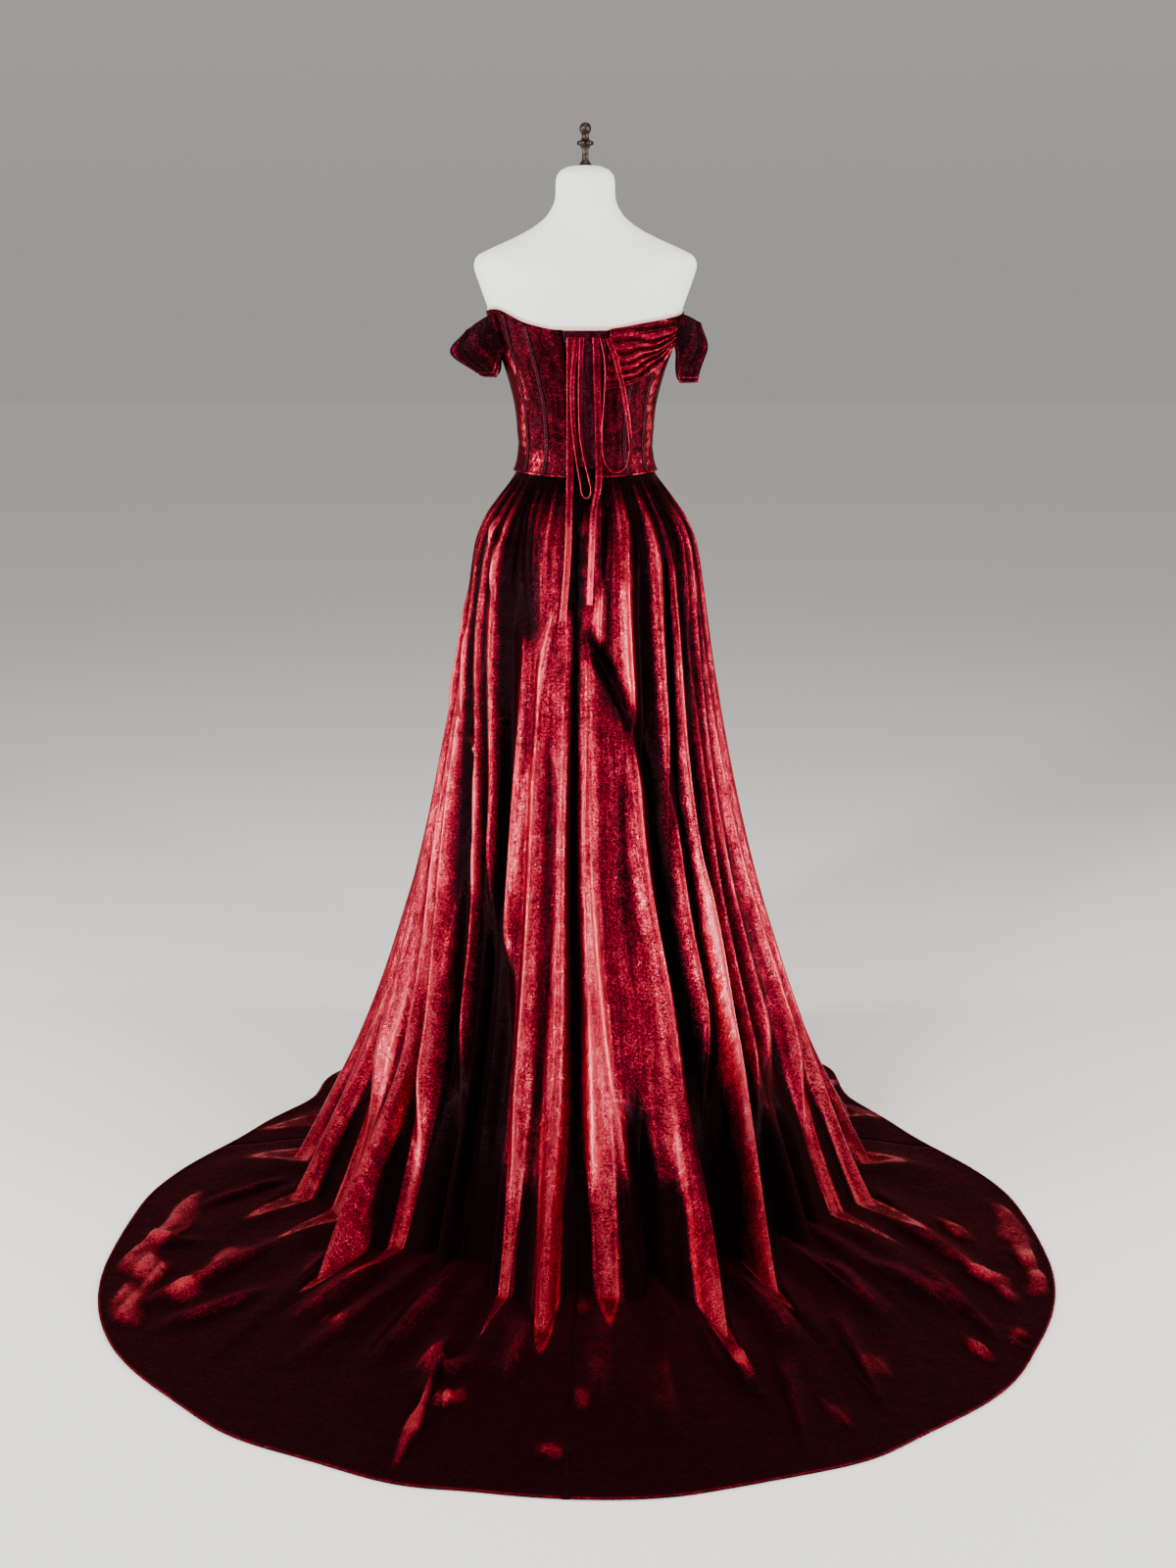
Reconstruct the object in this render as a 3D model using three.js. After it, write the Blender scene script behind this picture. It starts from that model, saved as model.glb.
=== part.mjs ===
// A-line prom dress with a chapel train, laced at the back, on a limbless dress form.
// Millimetres, +Z up. The front of the dress faces -Y and the train runs out to +Y.
// The origin is on the floor, in the middle of the stand's round base.
// Angles round the body are in degrees from the centre back, growing towards +X.

import * as THREE from 'three';

// ---------------------------------------------------------------- driving dimensions

const SEAM_GAP = 0.3;        // between two pieces that are sewn together
const VELVET = 2.0;          // thickness of a velvet wall
const LINING = 1.5;          // thickness of the satin lining
const RIBBON = 1.6;          // thickness of a velvet ribbon

const LINING_OFFSET = 0.7;   // inner face of lining, modesty panel and waist seam, off the form
const BODICE_OFFSET = 3.6;   // inner face of the boned bodice, off the form
const BODICE_FACE = BODICE_OFFSET + VELVET;

const BODICE_HEM = 1121;     // height of the bodice's free lower edge at the centre back
const SKIRT_WAIST = 1122;    // the skirt lies on the form from here up, tucked under the bodice
const SKIRT_TOP = 1138;
const BODICE_FLARE = { stand: 2.2, height: 22 };   // the lower edge stands off the skirt
const CHANNEL_WIDTH = 6;     // a boning channel over a bodice seam
const CHANNEL_THICKNESS = 1.2;
const SWAG_OFFSET = BODICE_FACE + CHANNEL_THICKNESS + 1.5 + VELVET;
const LINING_EDGE = { shows: 5, width: 20, sides: 100 };
const MODESTY = { sides: 20, from: SKIRT_TOP + SEAM_GAP, to: 1349.5 };
const PLACKET_HEIGHTS = [1348, 1356, 1364];

const BASE_RADIUS = 165;     // the stand
const BASE_HEIGHT = 14;
const POLE_RADIUS = 14;
const TORSO_BOTTOM = 850;
const NECK_TOP = 1631;

const SHADES = {
  velvet: 0x7a0c26,
  darkVelvet: 0x3a0512,
  lining: 0xe9cfc4,
  jersey: 0xe6ece0,
  darkMetal: 0x231d1a,
};

// ---------------------------------------------------------------- tables

// The dress form: half width, depth to the back and depth to the front at each height.
const FORM_SECTIONS = [
  { height: 850, half: 146, back: 112, front: 96 },
  { height: 880, half: 157, back: 119, front: 101 },
  { height: 940, half: 162, back: 123, front: 102 },
  { height: 1000, half: 154, back: 118, front: 99 },
  { height: 1060, half: 138, back: 104, front: 93 },
  { height: 1120, half: 117, back: 87, front: 85 },
  { height: 1170, half: 109, back: 81, front: 82 },
  { height: 1225, half: 113, back: 85, front: 88 },
  { height: 1290, half: 128, back: 93, front: 103 },
  { height: 1345, half: 148, back: 99, front: 117 },
  { height: 1392, half: 162, back: 100, front: 110 },
  { height: 1440, half: 179, back: 96, front: 92 },
  { height: 1468, half: 187, back: 88, front: 78 },
  { height: 1482, half: 183, back: 79, front: 68 },
  { height: 1496, half: 158, back: 70, front: 61 },
  { height: 1512, half: 122, back: 62, front: 56 },
  { height: 1530, half: 88, back: 56, front: 52 },
  { height: 1552, half: 62, back: 51, front: 49 },
  { height: 1580, half: 50, back: 48, front: 47 },
  { height: 1608, half: 49, back: 47, front: 47 },
  { height: 1622, half: 42, back: 41, front: 41 },
  { height: 1629, half: 28, back: 27, front: 27 },
];

// The skirt's outer envelope. centre is how far the section has moved back towards the train,
// and the pleats sink into the envelope by fold depths given for the back and for the front.
const SKIRT_SECTIONS = [
  { height: 0, half: 502, centre: 340, back: 960, front: 436, foldBack: 175, foldFront: 60 },
  { height: 30, half: 478, centre: 275, back: 880, front: 425, foldBack: 150, foldFront: 56 },
  { height: 80, half: 445, centre: 200, back: 765, front: 403, foldBack: 122, foldFront: 51 },
  { height: 150, half: 406, centre: 150, back: 665, front: 380, foldBack: 98, foldFront: 46 },
  { height: 230, half: 371, centre: 100, back: 575, front: 352, foldBack: 80, foldFront: 42 },
  { height: 330, half: 336, centre: 57, back: 490, front: 320, foldBack: 64, foldFront: 37 },
  { height: 440, half: 302, centre: 30, back: 415, front: 288, foldBack: 52, foldFront: 32 },
  { height: 560, half: 272, centre: 14, back: 350, front: 256, foldBack: 42, foldFront: 27 },
  { height: 680, half: 247, centre: 6, back: 293, front: 226, foldBack: 33, foldFront: 22 },
  { height: 800, half: 226, centre: 2, back: 245, front: 202, foldBack: 26, foldFront: 18 },
  { height: 920, half: 208, centre: 0, back: 201, front: 176, foldBack: 20, foldFront: 14 },
  { height: 1000, half: 195, centre: 0, back: 172, front: 155, foldBack: 15, foldFront: 11 },
  { height: 1045, half: 176, centre: 0, back: 149, front: 136, foldBack: 11, foldFront: 8 },
  { height: 1080, half: 151, centre: 0, back: 123, front: 114, foldBack: 7, foldFront: 6 },
  { height: 1106, half: 130, centre: 0, back: 102, front: 97, foldBack: 3, foldFront: 3 },
  { height: 1122, half: 119.3, centre: 0, back: 89.6, front: 87.4, foldBack: 0, foldFront: 0 },
];

// The rim of the train on the floor: a little wider on +X, and drawn in beside the feet from the
// angle pinchFrom over the next pinchOver degrees.
const HEM = {
  half: 712, centre: 730, back: 1462, front: 462, lean: 0.018, pinch: 0.14, pinchFrom: 100, pinchOver: 50,
};
const RIM_WAVES = { underFolds: 18, uneven: 4 };
const TRAIN_RIPPLE = 7;

// Which angle of the rim lies out from each angle of the skirt's foot.
const TRAIN_SPREAD = [
  { foot: -180, rim: -180 },
  { foot: -150, rim: -157 },
  { foot: -130, rim: -141 },
  { foot: -110, rim: -123 },
  { foot: -90, rim: -106 },
  { foot: -60, rim: -66 },
  { foot: -30, rim: -33 },
  { foot: 0, rim: 0 },
  { foot: 30, rim: 33 },
  { foot: 60, rim: 66 },
  { foot: 90, rim: 106 },
  { foot: 110, rim: 123 },
  { foot: 130, rim: 141 },
  { foot: 150, rim: 157 },
  { foot: 180, rim: 180 },
];

// One row for each fold of the skirt, from the -X side over the back to the +X side and round
// the front. waist to toe are its angle at those heights, upper and lower say how full it
// stands there, reach is how far its toe runs out over the floor, and ends is the height at
// which a fold that doesn't reach the floor has died away. valley says how deep the skirt sinks
// between this fold and the next.
const FOLD_HEIGHTS = { waist: 1110, hip: 920, knee: 600, shin: 250, toe: 0 };
const FOLD_FADE = 200;           // a fold dies away over this height
const TOE_HEIGHT = 220;          // a fold runs out to its toe from here down
const SQUARE_HEIGHT = 420;       // a fold stands square to the skirt from here up
const FOLDS = [
  { waist: -97, hip: -95, knee: -93, shin: -92, toe: -89, upper: 0.8, lower: 0.8, reach: 0, ends: 0, valley: 0.8 },
  { waist: -87, hip: -84, knee: -79, shin: -80, toe: -73, upper: 0.9, lower: 1.0, reach: -20, ends: 0, valley: 0.5 },
  { waist: -78, hip: -74, knee: -66, shin: -70, toe: -60, upper: 0.6, lower: 1.0, reach: -90, ends: 0, valley: 0.7 },
  { waist: -69, hip: -66, knee: -59, shin: -59, toe: -53, upper: 0.8, lower: 0.9, reach: 0, ends: 70, valley: 0.5 },
  { waist: -60, hip: -58, knee: -53, shin: -51, toe: -44, upper: 0.5, lower: 0.8, reach: 0, ends: 40, valley: 0.9 },
  { waist: -50, hip: -50, knee: -45, shin: -44, toe: -35, upper: 0.9, lower: 1.0, reach: 10, ends: 0, valley: 0.9 },
  { waist: -39, hip: -35, knee: -34, shin: -35, toe: -29, upper: 1.0, lower: 0.9, reach: 0, ends: 120, valley: 1 },
  { waist: -26, hip: -21, knee: -21, shin: -26, toe: -22, upper: 0.9, lower: 1.0, reach: 95, ends: 0, valley: 0.3 },
  { waist: -13, hip: -10, knee: -10, shin: -12, toe: -13, upper: 0.5, lower: 0.7, reach: 0, ends: 60, valley: 0.35 },
  { waist: -3, hip: -1, knee: -1, shin: -3, toe: -5, upper: 0.8, lower: 0.9, reach: -60, ends: 0, valley: 0.6 },
  { waist: 11, hip: 10, knee: 10, shin: 8, toe: 8, upper: 0.6, lower: 0.9, reach: 60, ends: 0, valley: 0.35 },
  { waist: 22, hip: 19, knee: 18, shin: 16, toe: 14, upper: 0.7, lower: 1.0, reach: -60, ends: 0, valley: 0.4 },
  { waist: 36, hip: 31, knee: 28, shin: 24, toe: 20, upper: 0.6, lower: 0.9, reach: 0, ends: 240, valley: 1 },
  { waist: 49, hip: 48, knee: 38, shin: 31, toe: 27, upper: 0.9, lower: 0.8, reach: 0, ends: 350, valley: 0.7 },
  { waist: 60, hip: 63, knee: 48, shin: 38, toe: 34, upper: 0.9, lower: 0.7, reach: 0, ends: 100, valley: 0.8 },
  { waist: 70, hip: 73, knee: 63, shin: 46, toe: 41, upper: 0.8, lower: 1.0, reach: -120, ends: 0, valley: 0.6 },
  { waist: 78, hip: 80, knee: 72, shin: 56, toe: 49, upper: 0.6, lower: 0.9, reach: 80, ends: 0, valley: 0.5 },
  { waist: 85, hip: 86, knee: 80, shin: 66, toe: 60, upper: 0.8, lower: 1.0, reach: -90, ends: 0, valley: 0.6 },
  { waist: 92, hip: 92, knee: 88, shin: 79, toe: 75, upper: 0.7, lower: 0.9, reach: 0, ends: 0, valley: 0.8 },
  { waist: 100, hip: 99, knee: 97, shin: 93, toe: 90, upper: 0.8, lower: 0.9, reach: 0, ends: 0, valley: 0.9 },
  { waist: 113, hip: 111, knee: 109, shin: 107, toe: 106, upper: 0.8, lower: 0.9, reach: 0, ends: 0, valley: 0.9 },
  { waist: 127, hip: 125, knee: 124, shin: 122, toe: 121, upper: 0.9, lower: 1.0, reach: 0, ends: 0, valley: 0.6 },
  { waist: 141, hip: 141, knee: 139, shin: 138, toe: 138, upper: 0.7, lower: 0.8, reach: 0, ends: 0, valley: 1 },
  { waist: 156, hip: 154, knee: 155, shin: 154, toe: 153, upper: 0.9, lower: 1.0, reach: 0, ends: 0, valley: 0.7 },
  { waist: 171, hip: 170, knee: 168, shin: 169, toe: 170, upper: 0.6, lower: 0.8, reach: 0, ends: 0, valley: 0.9 },
  { waist: 185, hip: 186, knee: 187, shin: 186, toe: 185, upper: 0.9, lower: 1.0, reach: 0, ends: 0, valley: 0.6 },
  { waist: 201, hip: 200, knee: 202, shin: 203, toe: 203, upper: 0.8, lower: 0.9, reach: 0, ends: 0, valley: 1 },
  { waist: 217, hip: 218, knee: 217, shin: 218, toe: 219, upper: 0.9, lower: 1.0, reach: 0, ends: 0, valley: 0.8 },
  { waist: 232, hip: 232, knee: 233, shin: 235, toe: 236, upper: 0.7, lower: 0.8, reach: 0, ends: 0, valley: 0.7 },
  { waist: 248, hip: 249, knee: 250, shin: 252, toe: 254, upper: 0.9, lower: 0.9, reach: 0, ends: 0, valley: 0.9 },
];
const CENTRE_BACK_SEAM = 9.5;    // place of the seams in the count of folds
const SIDE_SEAM_LEFT = 19.5;
const SIDE_SEAM_RIGHT = -0.5;

// The bodice's upper edge, by angle from the centre back.
const NECKLINE = [
  { angle: -180, height: 1378 },
  { angle: -150, height: 1402 },
  { angle: -118, height: 1398 },
  { angle: -90, height: 1390 },
  { angle: -58, height: 1382 },
  { angle: -24, height: 1370 },
  { angle: -15, height: 1365 },
  { angle: 15, height: 1365 },
  { angle: 36, height: 1374 },
  { angle: 64, height: 1397 },
  { angle: 90, height: 1392 },
  { angle: 118, height: 1398 },
  { angle: 150, height: 1402 },
  { angle: 180, height: 1378 },
];

// The seams between the bodice's panels: their angle at the lower edge, the waist and the top.
const BODICE_SEAMS = {
  backEdge: { hem: 8, waist: 9, top: 14 },
  sideBack: { hem: 36, waist: 35, top: 39 },
  side: { hem: 58, waist: 58, top: 56 },
  sideFront: { hem: 101, waist: 102, top: 100 },
  front: { hem: 150, waist: 150, top: 138 },
};

// ---------------------------------------------------------------- curves and sections

const radians = THREE.MathUtils.degToRad;

// A smooth curve through the points of a table that never overshoots them.
function curveThrough(places, values) {
  const slopes = places.slice(1).map((place, i) => (values[i + 1] - values[i]) / (place - places[i]));
  const tangents = places.map((_, i) => {
    if (i === 0) return slopes[0];
    if (i === places.length - 1) return slopes[i - 1];
    const before = slopes[i - 1];
    const after = slopes[i];
    return before * after <= 0 ? 0 : (2 * before * after) / (before + after);
  });
  return (place) => {
    let i = 0;
    while (i < places.length - 2 && place > places[i + 1]) i += 1;
    const span = places[i + 1] - places[i];
    const t = THREE.MathUtils.clamp((place - places[i]) / span, 0, 1);
    const t2 = t * t;
    const t3 = t2 * t;
    return values[i] * (2 * t3 - 3 * t2 + 1) + tangents[i] * span * (t3 - 2 * t2 + t)
      + values[i + 1] * (3 * t2 - 2 * t3) + tangents[i + 1] * span * (t3 - t2);
  };
}

function columnCurve(rows, key, column) {
  return curveThrough(rows.map((row) => row[key]), rows.map((row) => row[column]));
}

const formHalf = columnCurve(FORM_SECTIONS, 'height', 'half');
const formBack = columnCurve(FORM_SECTIONS, 'height', 'back');
const formFront = columnCurve(FORM_SECTIONS, 'height', 'front');

function formSection(height) {
  return { half: formHalf(height), centre: 0, back: formBack(height), front: formFront(height) };
}

const skirtColumns = Object.fromEntries(
  ['half', 'centre', 'back', 'front', 'foldBack', 'foldFront']
    .map((column) => [column, columnCurve(SKIRT_SECTIONS, 'height', column)]),
);

function skirtSection(height) {
  return Object.fromEntries(Object.entries(skirtColumns).map(([column, curve]) => [column, curve(height)]));
}

// A point of an oval section, moved out square to the oval by offset.
function onSection(section, angle, height, offset) {
  const turn = radians(angle);
  const depth = Math.cos(turn) > 0 ? section.back - section.centre : section.front + section.centre;
  const out = new THREE.Vector2(Math.sin(turn) / section.half, Math.cos(turn) / depth).normalize();
  return new THREE.Vector3(
    section.half * Math.sin(turn) + offset * out.x,
    section.centre + depth * Math.cos(turn) + offset * out.y,
    height,
  );
}

function onForm(angle, height, offset) {
  return onSection(formSection(height), angle, height, offset);
}

// ---------------------------------------------------------------- walls

// A closed solid from a grid of outer points and a grid of inner points, each a list of rows.
function solidBetween(outer, inner) {
  const rows = outer.length;
  const columns = outer[0].length;
  const positions = [];
  [outer, inner].forEach((grid) => grid.forEach((row) => row.forEach((p) => positions.push(p.x, p.y, p.z))));
  const innerStart = rows * columns;
  const indices = [];
  const quad = (a, b, c, d) => indices.push(a, b, c, a, c, d);
  for (let r = 0; r < rows - 1; r += 1) {
    for (let c = 0; c < columns - 1; c += 1) {
      const a = r * columns + c;
      quad(a, a + 1, a + columns + 1, a + columns);
      quad(innerStart + a, innerStart + a + columns, innerStart + a + columns + 1, innerStart + a + 1);
    }
  }
  for (let c = 0; c < columns - 1; c += 1) {
    const low = c;
    const high = (rows - 1) * columns + c;
    quad(low + 1, low, innerStart + low, innerStart + low + 1);
    quad(high, high + 1, innerStart + high + 1, innerStart + high);
  }
  for (let r = 0; r < rows - 1; r += 1) {
    const first = r * columns;
    const last = first + columns - 1;
    quad(first, first + columns, innerStart + first + columns, innerStart + first);
    quad(last, innerStart + last, innerStart + last + columns, last + columns);
  }
  const geometry = new THREE.BufferGeometry();
  geometry.setAttribute('position', new THREE.Float32BufferAttribute(positions, 3));
  geometry.setIndex(indices);
  return geometry;
}

// The normal of a surface given as surface(across, up), on the side that sees across grow to the right.
function normalOf(surface, across, up) {
  const step = 1e-3;
  const alongAcross = surface(across + step, up).sub(surface(across - step, up));
  const alongUp = surface(across, up + step).sub(surface(across, up - step));
  return alongAcross.cross(alongUp).normalize();
}

// A cloth wall under a surface: across runs to the viewer's right, up runs up, seen from outside.
function clothWall(surface, acrossPlaces, upPlaces, thickness, floor = -Infinity) {
  const outer = [];
  const inner = [];
  const inward = -Math.sign(acrossPlaces[1] - acrossPlaces[0]) * thickness;
  upPlaces.forEach((up, row) => {
    const below = upPlaces[Math.max(row - 1, 0)];
    const above = upPlaces[Math.min(row + 1, upPlaces.length - 1)];
    const outerRow = acrossPlaces.map((across) => surface(across, up));
    const innerRow = acrossPlaces.map((across, i) => {
      const point = outerRow[i].clone().addScaledVector(normalOf(surface, across, up), inward);
      point.z = Math.max(point.z, floor);
      return point;
    });
    const last = acrossPlaces.length - 1;
    [[0, 1], [last, -1]].forEach(([end, sign]) => {
      const seam = surface(acrossPlaces[end], above).sub(surface(acrossPlaces[end], below));
      const square = seam.cross(normalOf(surface, acrossPlaces[end], up));
      const shift = square.setLength((SEAM_GAP / 2) * -Math.sign(sign * inward));
      outerRow[end].add(shift);
      innerRow[end].add(shift);
    });
    outer.push(outerRow);
    inner.push(innerRow);
  });
  return solidBetween(outer, inner);
}

function evenPlaces(from, to, steps) {
  return Array.from({ length: steps + 1 }, (_, i) => from + ((to - from) * i) / steps);
}

// ---------------------------------------------------------------- the group

const dress = new THREE.Group();

function addPiece(name, geometry, shade, roughness, metalness = 0) {
  const material = new THREE.MeshStandardMaterial({ color: shade, roughness, metalness });
  const mesh = new THREE.Mesh(geometry, material);
  mesh.name = name;
  dress.add(mesh);
}

// ---------------------------------------------------------------- dress form and stand

function torsoGeometry() {
  const sides = 28;
  const rows = FORM_SECTIONS.map((row) => row.height);
  const halfway = rows.slice(1).map((height, i) => (height + rows[i]) / 2);
  const heights = [...rows, ...halfway.filter((height) => height < 1400)].sort((a, b) => a - b);
  const positions = [];
  heights.forEach((height) => {
    for (let i = 0; i < sides; i += 1) {
      const p = onForm((360 * i) / sides, height, 0);
      positions.push(p.x, p.y, p.z);
    }
  });
  const bottomCentre = positions.length / 3;
  positions.push(0, 0, heights[0]);
  positions.push(0, 0, NECK_TOP);
  const topStart = (heights.length - 1) * sides;
  const indices = [];
  for (let i = 0; i < sides; i += 1) {
    const next = (i + 1) % sides;
    for (let r = 0; r < heights.length - 1; r += 1) {
      const a = r * sides;
      indices.push(a + i, a + sides + i, a + next, a + next, a + sides + i, a + sides + next);
    }
    indices.push(bottomCentre, i, next);
    indices.push(bottomCentre + 1, topStart + next, topStart + i);
  }
  const geometry = new THREE.BufferGeometry();
  geometry.setAttribute('position', new THREE.Float32BufferAttribute(positions, 3));
  geometry.setIndex(indices);
  return geometry;
}

// A turned piece: radius and height pairs from the axis at the bottom to the axis at the top.
function turned(profile, sides) {
  const points = profile.map(([radius, height]) => new THREE.Vector2(radius, height));
  return new THREE.LatheGeometry(points, sides).rotateX(Math.PI / 2);
}

function buildForm() {
  addPiece('form_torso', torsoGeometry(), SHADES.jersey, 0.8);
  const finialFoot = NECK_TOP + SEAM_GAP;
  addPiece('form_finial', turned([
    [0, finialFoot], [11, finialFoot], [9, finialFoot + 4], [5.5, finialFoot + 9],
    [5.5, finialFoot + 26], [8, finialFoot + 30], [14, finialFoot + 33], [14, finialFoot + 38],
    [7, finialFoot + 42], [6, finialFoot + 49], [9, finialFoot + 54], [10, finialFoot + 60],
    [7, finialFoot + 66], [0, finialFoot + 69],
  ], 12), SHADES.darkMetal, 0.35, 0.6);
  const poleFoot = BASE_HEIGHT + SEAM_GAP;
  addPiece('form_pole', turned([
    [0, poleFoot], [24, poleFoot], [24, poleFoot + 10], [POLE_RADIUS, poleFoot + 34],
    [POLE_RADIUS, TORSO_BOTTOM - SEAM_GAP], [0, TORSO_BOTTOM - SEAM_GAP],
  ], 14), SHADES.darkMetal, 0.4, 0.7);
  addPiece('form_base', turned([
    [0, 0], [BASE_RADIUS, 0], [BASE_RADIUS, 7], [BASE_RADIUS - 6, BASE_HEIGHT], [0, BASE_HEIGHT],
  ], 32), SHADES.darkMetal, 0.4, 0.7);
}

// ---------------------------------------------------------------- skirt

const foldAngleCurves = Object.keys(FOLD_HEIGHTS).map((station) => {
  const before = FOLDS.slice(-3).map((fold) => fold[station] - 360);
  const after = FOLDS.slice(0, 3).map((fold) => fold[station] + 360);
  const angles = [...before, ...FOLDS.map((fold) => fold[station]), ...after];
  return curveThrough(angles.map((_, i) => i - before.length), angles);
});
const stationHeights = Object.values(FOLD_HEIGHTS);

function foldAngle(count, height) {
  const angles = foldAngleCurves.map((curve) => curve(count));
  return curveThrough([...stationHeights].reverse(), [...angles].reverse())(height);
}

// The fold nearest to count at a height: crest is 0 in the valleys beside it and 1 along its top.
function foldSwell(count, height) {
  const nearest = Math.round(count);
  const fold = FOLDS[(nearest + FOLDS.length) % FOLDS.length];
  const before = FOLDS[(nearest - 1 + FOLDS.length) % FOLDS.length];
  const valley = count < nearest ? before.valley : fold.valley;
  const crest = 0.5 + 0.5 * Math.cos(2 * Math.PI * (count - nearest));
  const { knee, hip } = FOLD_HEIGHTS;
  const full = THREE.MathUtils.lerp(fold.lower, fold.upper, THREE.MathUtils.smoothstep(height, knee, hip));
  const fade = fold.ends > 0 ? THREE.MathUtils.smoothstep(height, fold.ends, fold.ends + FOLD_FADE) : 1;
  return { crest, full: full * fade, reach: fold.reach, valley };
}

const rimAngle = columnCurve(TRAIN_SPREAD, 'foot', 'rim');

function wrapped(angle) {
  return angle > 180 ? angle - 360 : angle;
}

function rimPoint(angle) {
  const turn = rimAngle(wrapped(angle));
  const besideFeet = THREE.MathUtils.clamp((Math.abs(turn) - HEM.pinchFrom) / HEM.pinchOver, 0, 1);
  const rim = onSection(HEM, turn, 0, 0);
  rim.x *= 1 + HEM.lean * Math.sin(radians(turn)) - HEM.pinch * Math.sin(Math.PI * besideFeet) ** 2;
  return rim;
}

// Folds stand square to the skirt high up, and turn into the way the train runs at the floor.
function foldDirection(section, angle, height) {
  const square = onSection(section, angle, 0, 1).sub(onSection(section, angle, 0, 0));
  const floorSection = skirtSection(0);
  const trainWay = rimPoint(angle).sub(onSection(floorSection, angle, 0, 0)).normalize();
  return trainWay.lerp(square, THREE.MathUtils.smoothstep(height, 0, SQUARE_HEIGHT)).normalize();
}

function skirtPoint(count, height) {
  const angle = foldAngle(count, height);
  if (height > SKIRT_WAIST) return onForm(angle, height, LINING_OFFSET + VELVET);
  const section = skirtSection(height);
  const { crest, full, reach, valley } = foldSwell(count, height);
  const toBack = 0.5 + 0.5 * Math.cos(radians(angle));
  const depth = THREE.MathUtils.lerp(section.foldFront, section.foldBack, toBack);
  const toeShare = 1 - THREE.MathUtils.smoothstep(height, 0, TOE_HEIGHT);
  const sunk = crest * (1 - full) + (1 - crest) * valley;
  const stand = crest * reach * toeShare - sunk * depth;
  const point = onSection(section, angle, height, 0);
  return point.addScaledVector(foldDirection(section, angle, height), stand);
}

// The train: share is 0 where the folds meet the floor and 1 at the hem.
function trainPoint(count, share) {
  const angle = foldAngle(count, 0);
  const foot = skirtPoint(count, 0);
  const rim = rimPoint(angle);
  const wave = Math.cos(2 * Math.PI * count);
  const frontShare = Math.max(0, -Math.cos(radians(angle)));
  const outward = foldDirection(skirtSection(0), angle, 0);
  const turn = (2 * Math.PI * count) / FOLDS.length;
  const waves = RIM_WAVES.underFolds * wave * frontShare + RIM_WAVES.uneven * Math.sin(11 * turn);
  rim.addScaledVector(outward, waves);
  const point = foot.lerp(rim, share);
  const ripple = (1 - share) * (0.5 + 0.5 * wave) + share * (1 - share) * (1 + Math.sin(9 * turn + 6 * share));
  point.z = VELVET + TRAIN_RIPPLE * ripple * Math.min(1, 6 * share) * (1 - share * share);
  return point;
}

const TRAIN_SHARES = [1, 0.72, 0.42, 0.16];
const SKIRT_HEIGHTS = [2, 32, 80, 142, 218, 312, 420, 540, 670, 800, 915, 1000, 1050, 1090, 1120, SKIRT_TOP];

// up is below 0 on the train, counted in shares of it, and above 0 a height over the floor.
function skirtSurface(count, up) {
  return up < 0 ? trainPoint(count, -up / HEM.back) : skirtPoint(count, up);
}

function buildSkirt() {
  const ups = [...TRAIN_SHARES.map((share) => -share * HEM.back), ...SKIRT_HEIGHTS];
  const panels = [
    { name: 'skirt_back_right', from: SIDE_SEAM_RIGHT, to: CENTRE_BACK_SEAM, perFold: 4 },
    { name: 'skirt_back_left', from: CENTRE_BACK_SEAM, to: SIDE_SEAM_LEFT, perFold: 4 },
    { name: 'skirt_front', from: SIDE_SEAM_LEFT, to: FOLDS.length + SIDE_SEAM_RIGHT, perFold: 3 },
  ];
  panels.forEach(({ name, from, to, perFold }) => {
    const counts = evenPlaces(from, to, (to - from) * perFold).reverse();
    addPiece(name, clothWall(skirtSurface, counts, ups, VELVET, 0), SHADES.velvet, 0.45);
  });
}

// ---------------------------------------------------------------- bodice

const neckline = columnCurve(NECKLINE, 'angle', 'height');

function bodiceHem(angle) {
  return BODICE_HEM + 6 * Math.sin(radians(angle)) ** 2;
}

function seamAngle(seam, share) {
  return curveThrough([0, 0.25, 1], [seam.hem, seam.waist, seam.top])(share);
}

// A bodice panel between two seams: share is 0 at the lower edge and 1 at the top.
function bodicePanel(from, to, offset) {
  return (across, share) => {
    const angle = THREE.MathUtils.lerp(from(share), to(share), across);
    const height = THREE.MathUtils.lerp(bodiceHem(angle), neckline(wrapped(angle)), share);
    const toHem = 1 - THREE.MathUtils.smoothstep(height, BODICE_HEM, BODICE_HEM + BODICE_FLARE.height);
    return onForm(angle, height, offset + BODICE_FLARE.stand * toHem);
  };
}

const BODICE_SHARES = [0, 0.07, 0.17, 0.31, 0.46, 0.61, 0.76, 0.89, 1];

function seamOn(side, seam) {
  return (share) => side * seamAngle(seam, share);
}

function buildBodice() {
  const { backEdge, sideBack, side, sideFront, front } = BODICE_SEAMS;
  const strips = [
    ['bodice_back', backEdge, sideBack, 3],
    ['bodice_side_back', sideBack, side, 3],
    ['bodice_side', side, sideFront, 5],
    ['bodice_side_front', sideFront, front, 5],
  ];
  [['left', 1], ['right', -1]].forEach(([hand, sign]) => {
    strips.forEach(([name, from, to, steps]) => {
      const panel = bodicePanel(seamOn(sign, from), seamOn(sign, to), BODICE_FACE);
      const places = sign > 0 ? evenPlaces(1, 0, steps) : evenPlaces(0, 1, steps);
      addPiece(`${name}_${hand}`, clothWall(panel, places, BODICE_SHARES, VELVET), SHADES.velvet, 0.45);
    });
    [['channel_back', sideBack], ['channel_side_back', side]].forEach(([name, seam]) => {
      addPiece(`${name}_${hand}`, channelGeometry(sign, seam), SHADES.darkVelvet, 0.5);
    });
  });
  const centre = bodicePanel(seamOn(1, front), (share) => 360 - seamAngle(front, share), BODICE_FACE);
  addPiece('bodice_front', clothWall(centre, evenPlaces(1, 0, 7), BODICE_SHARES, VELVET), SHADES.velvet, 0.45);
}

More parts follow.
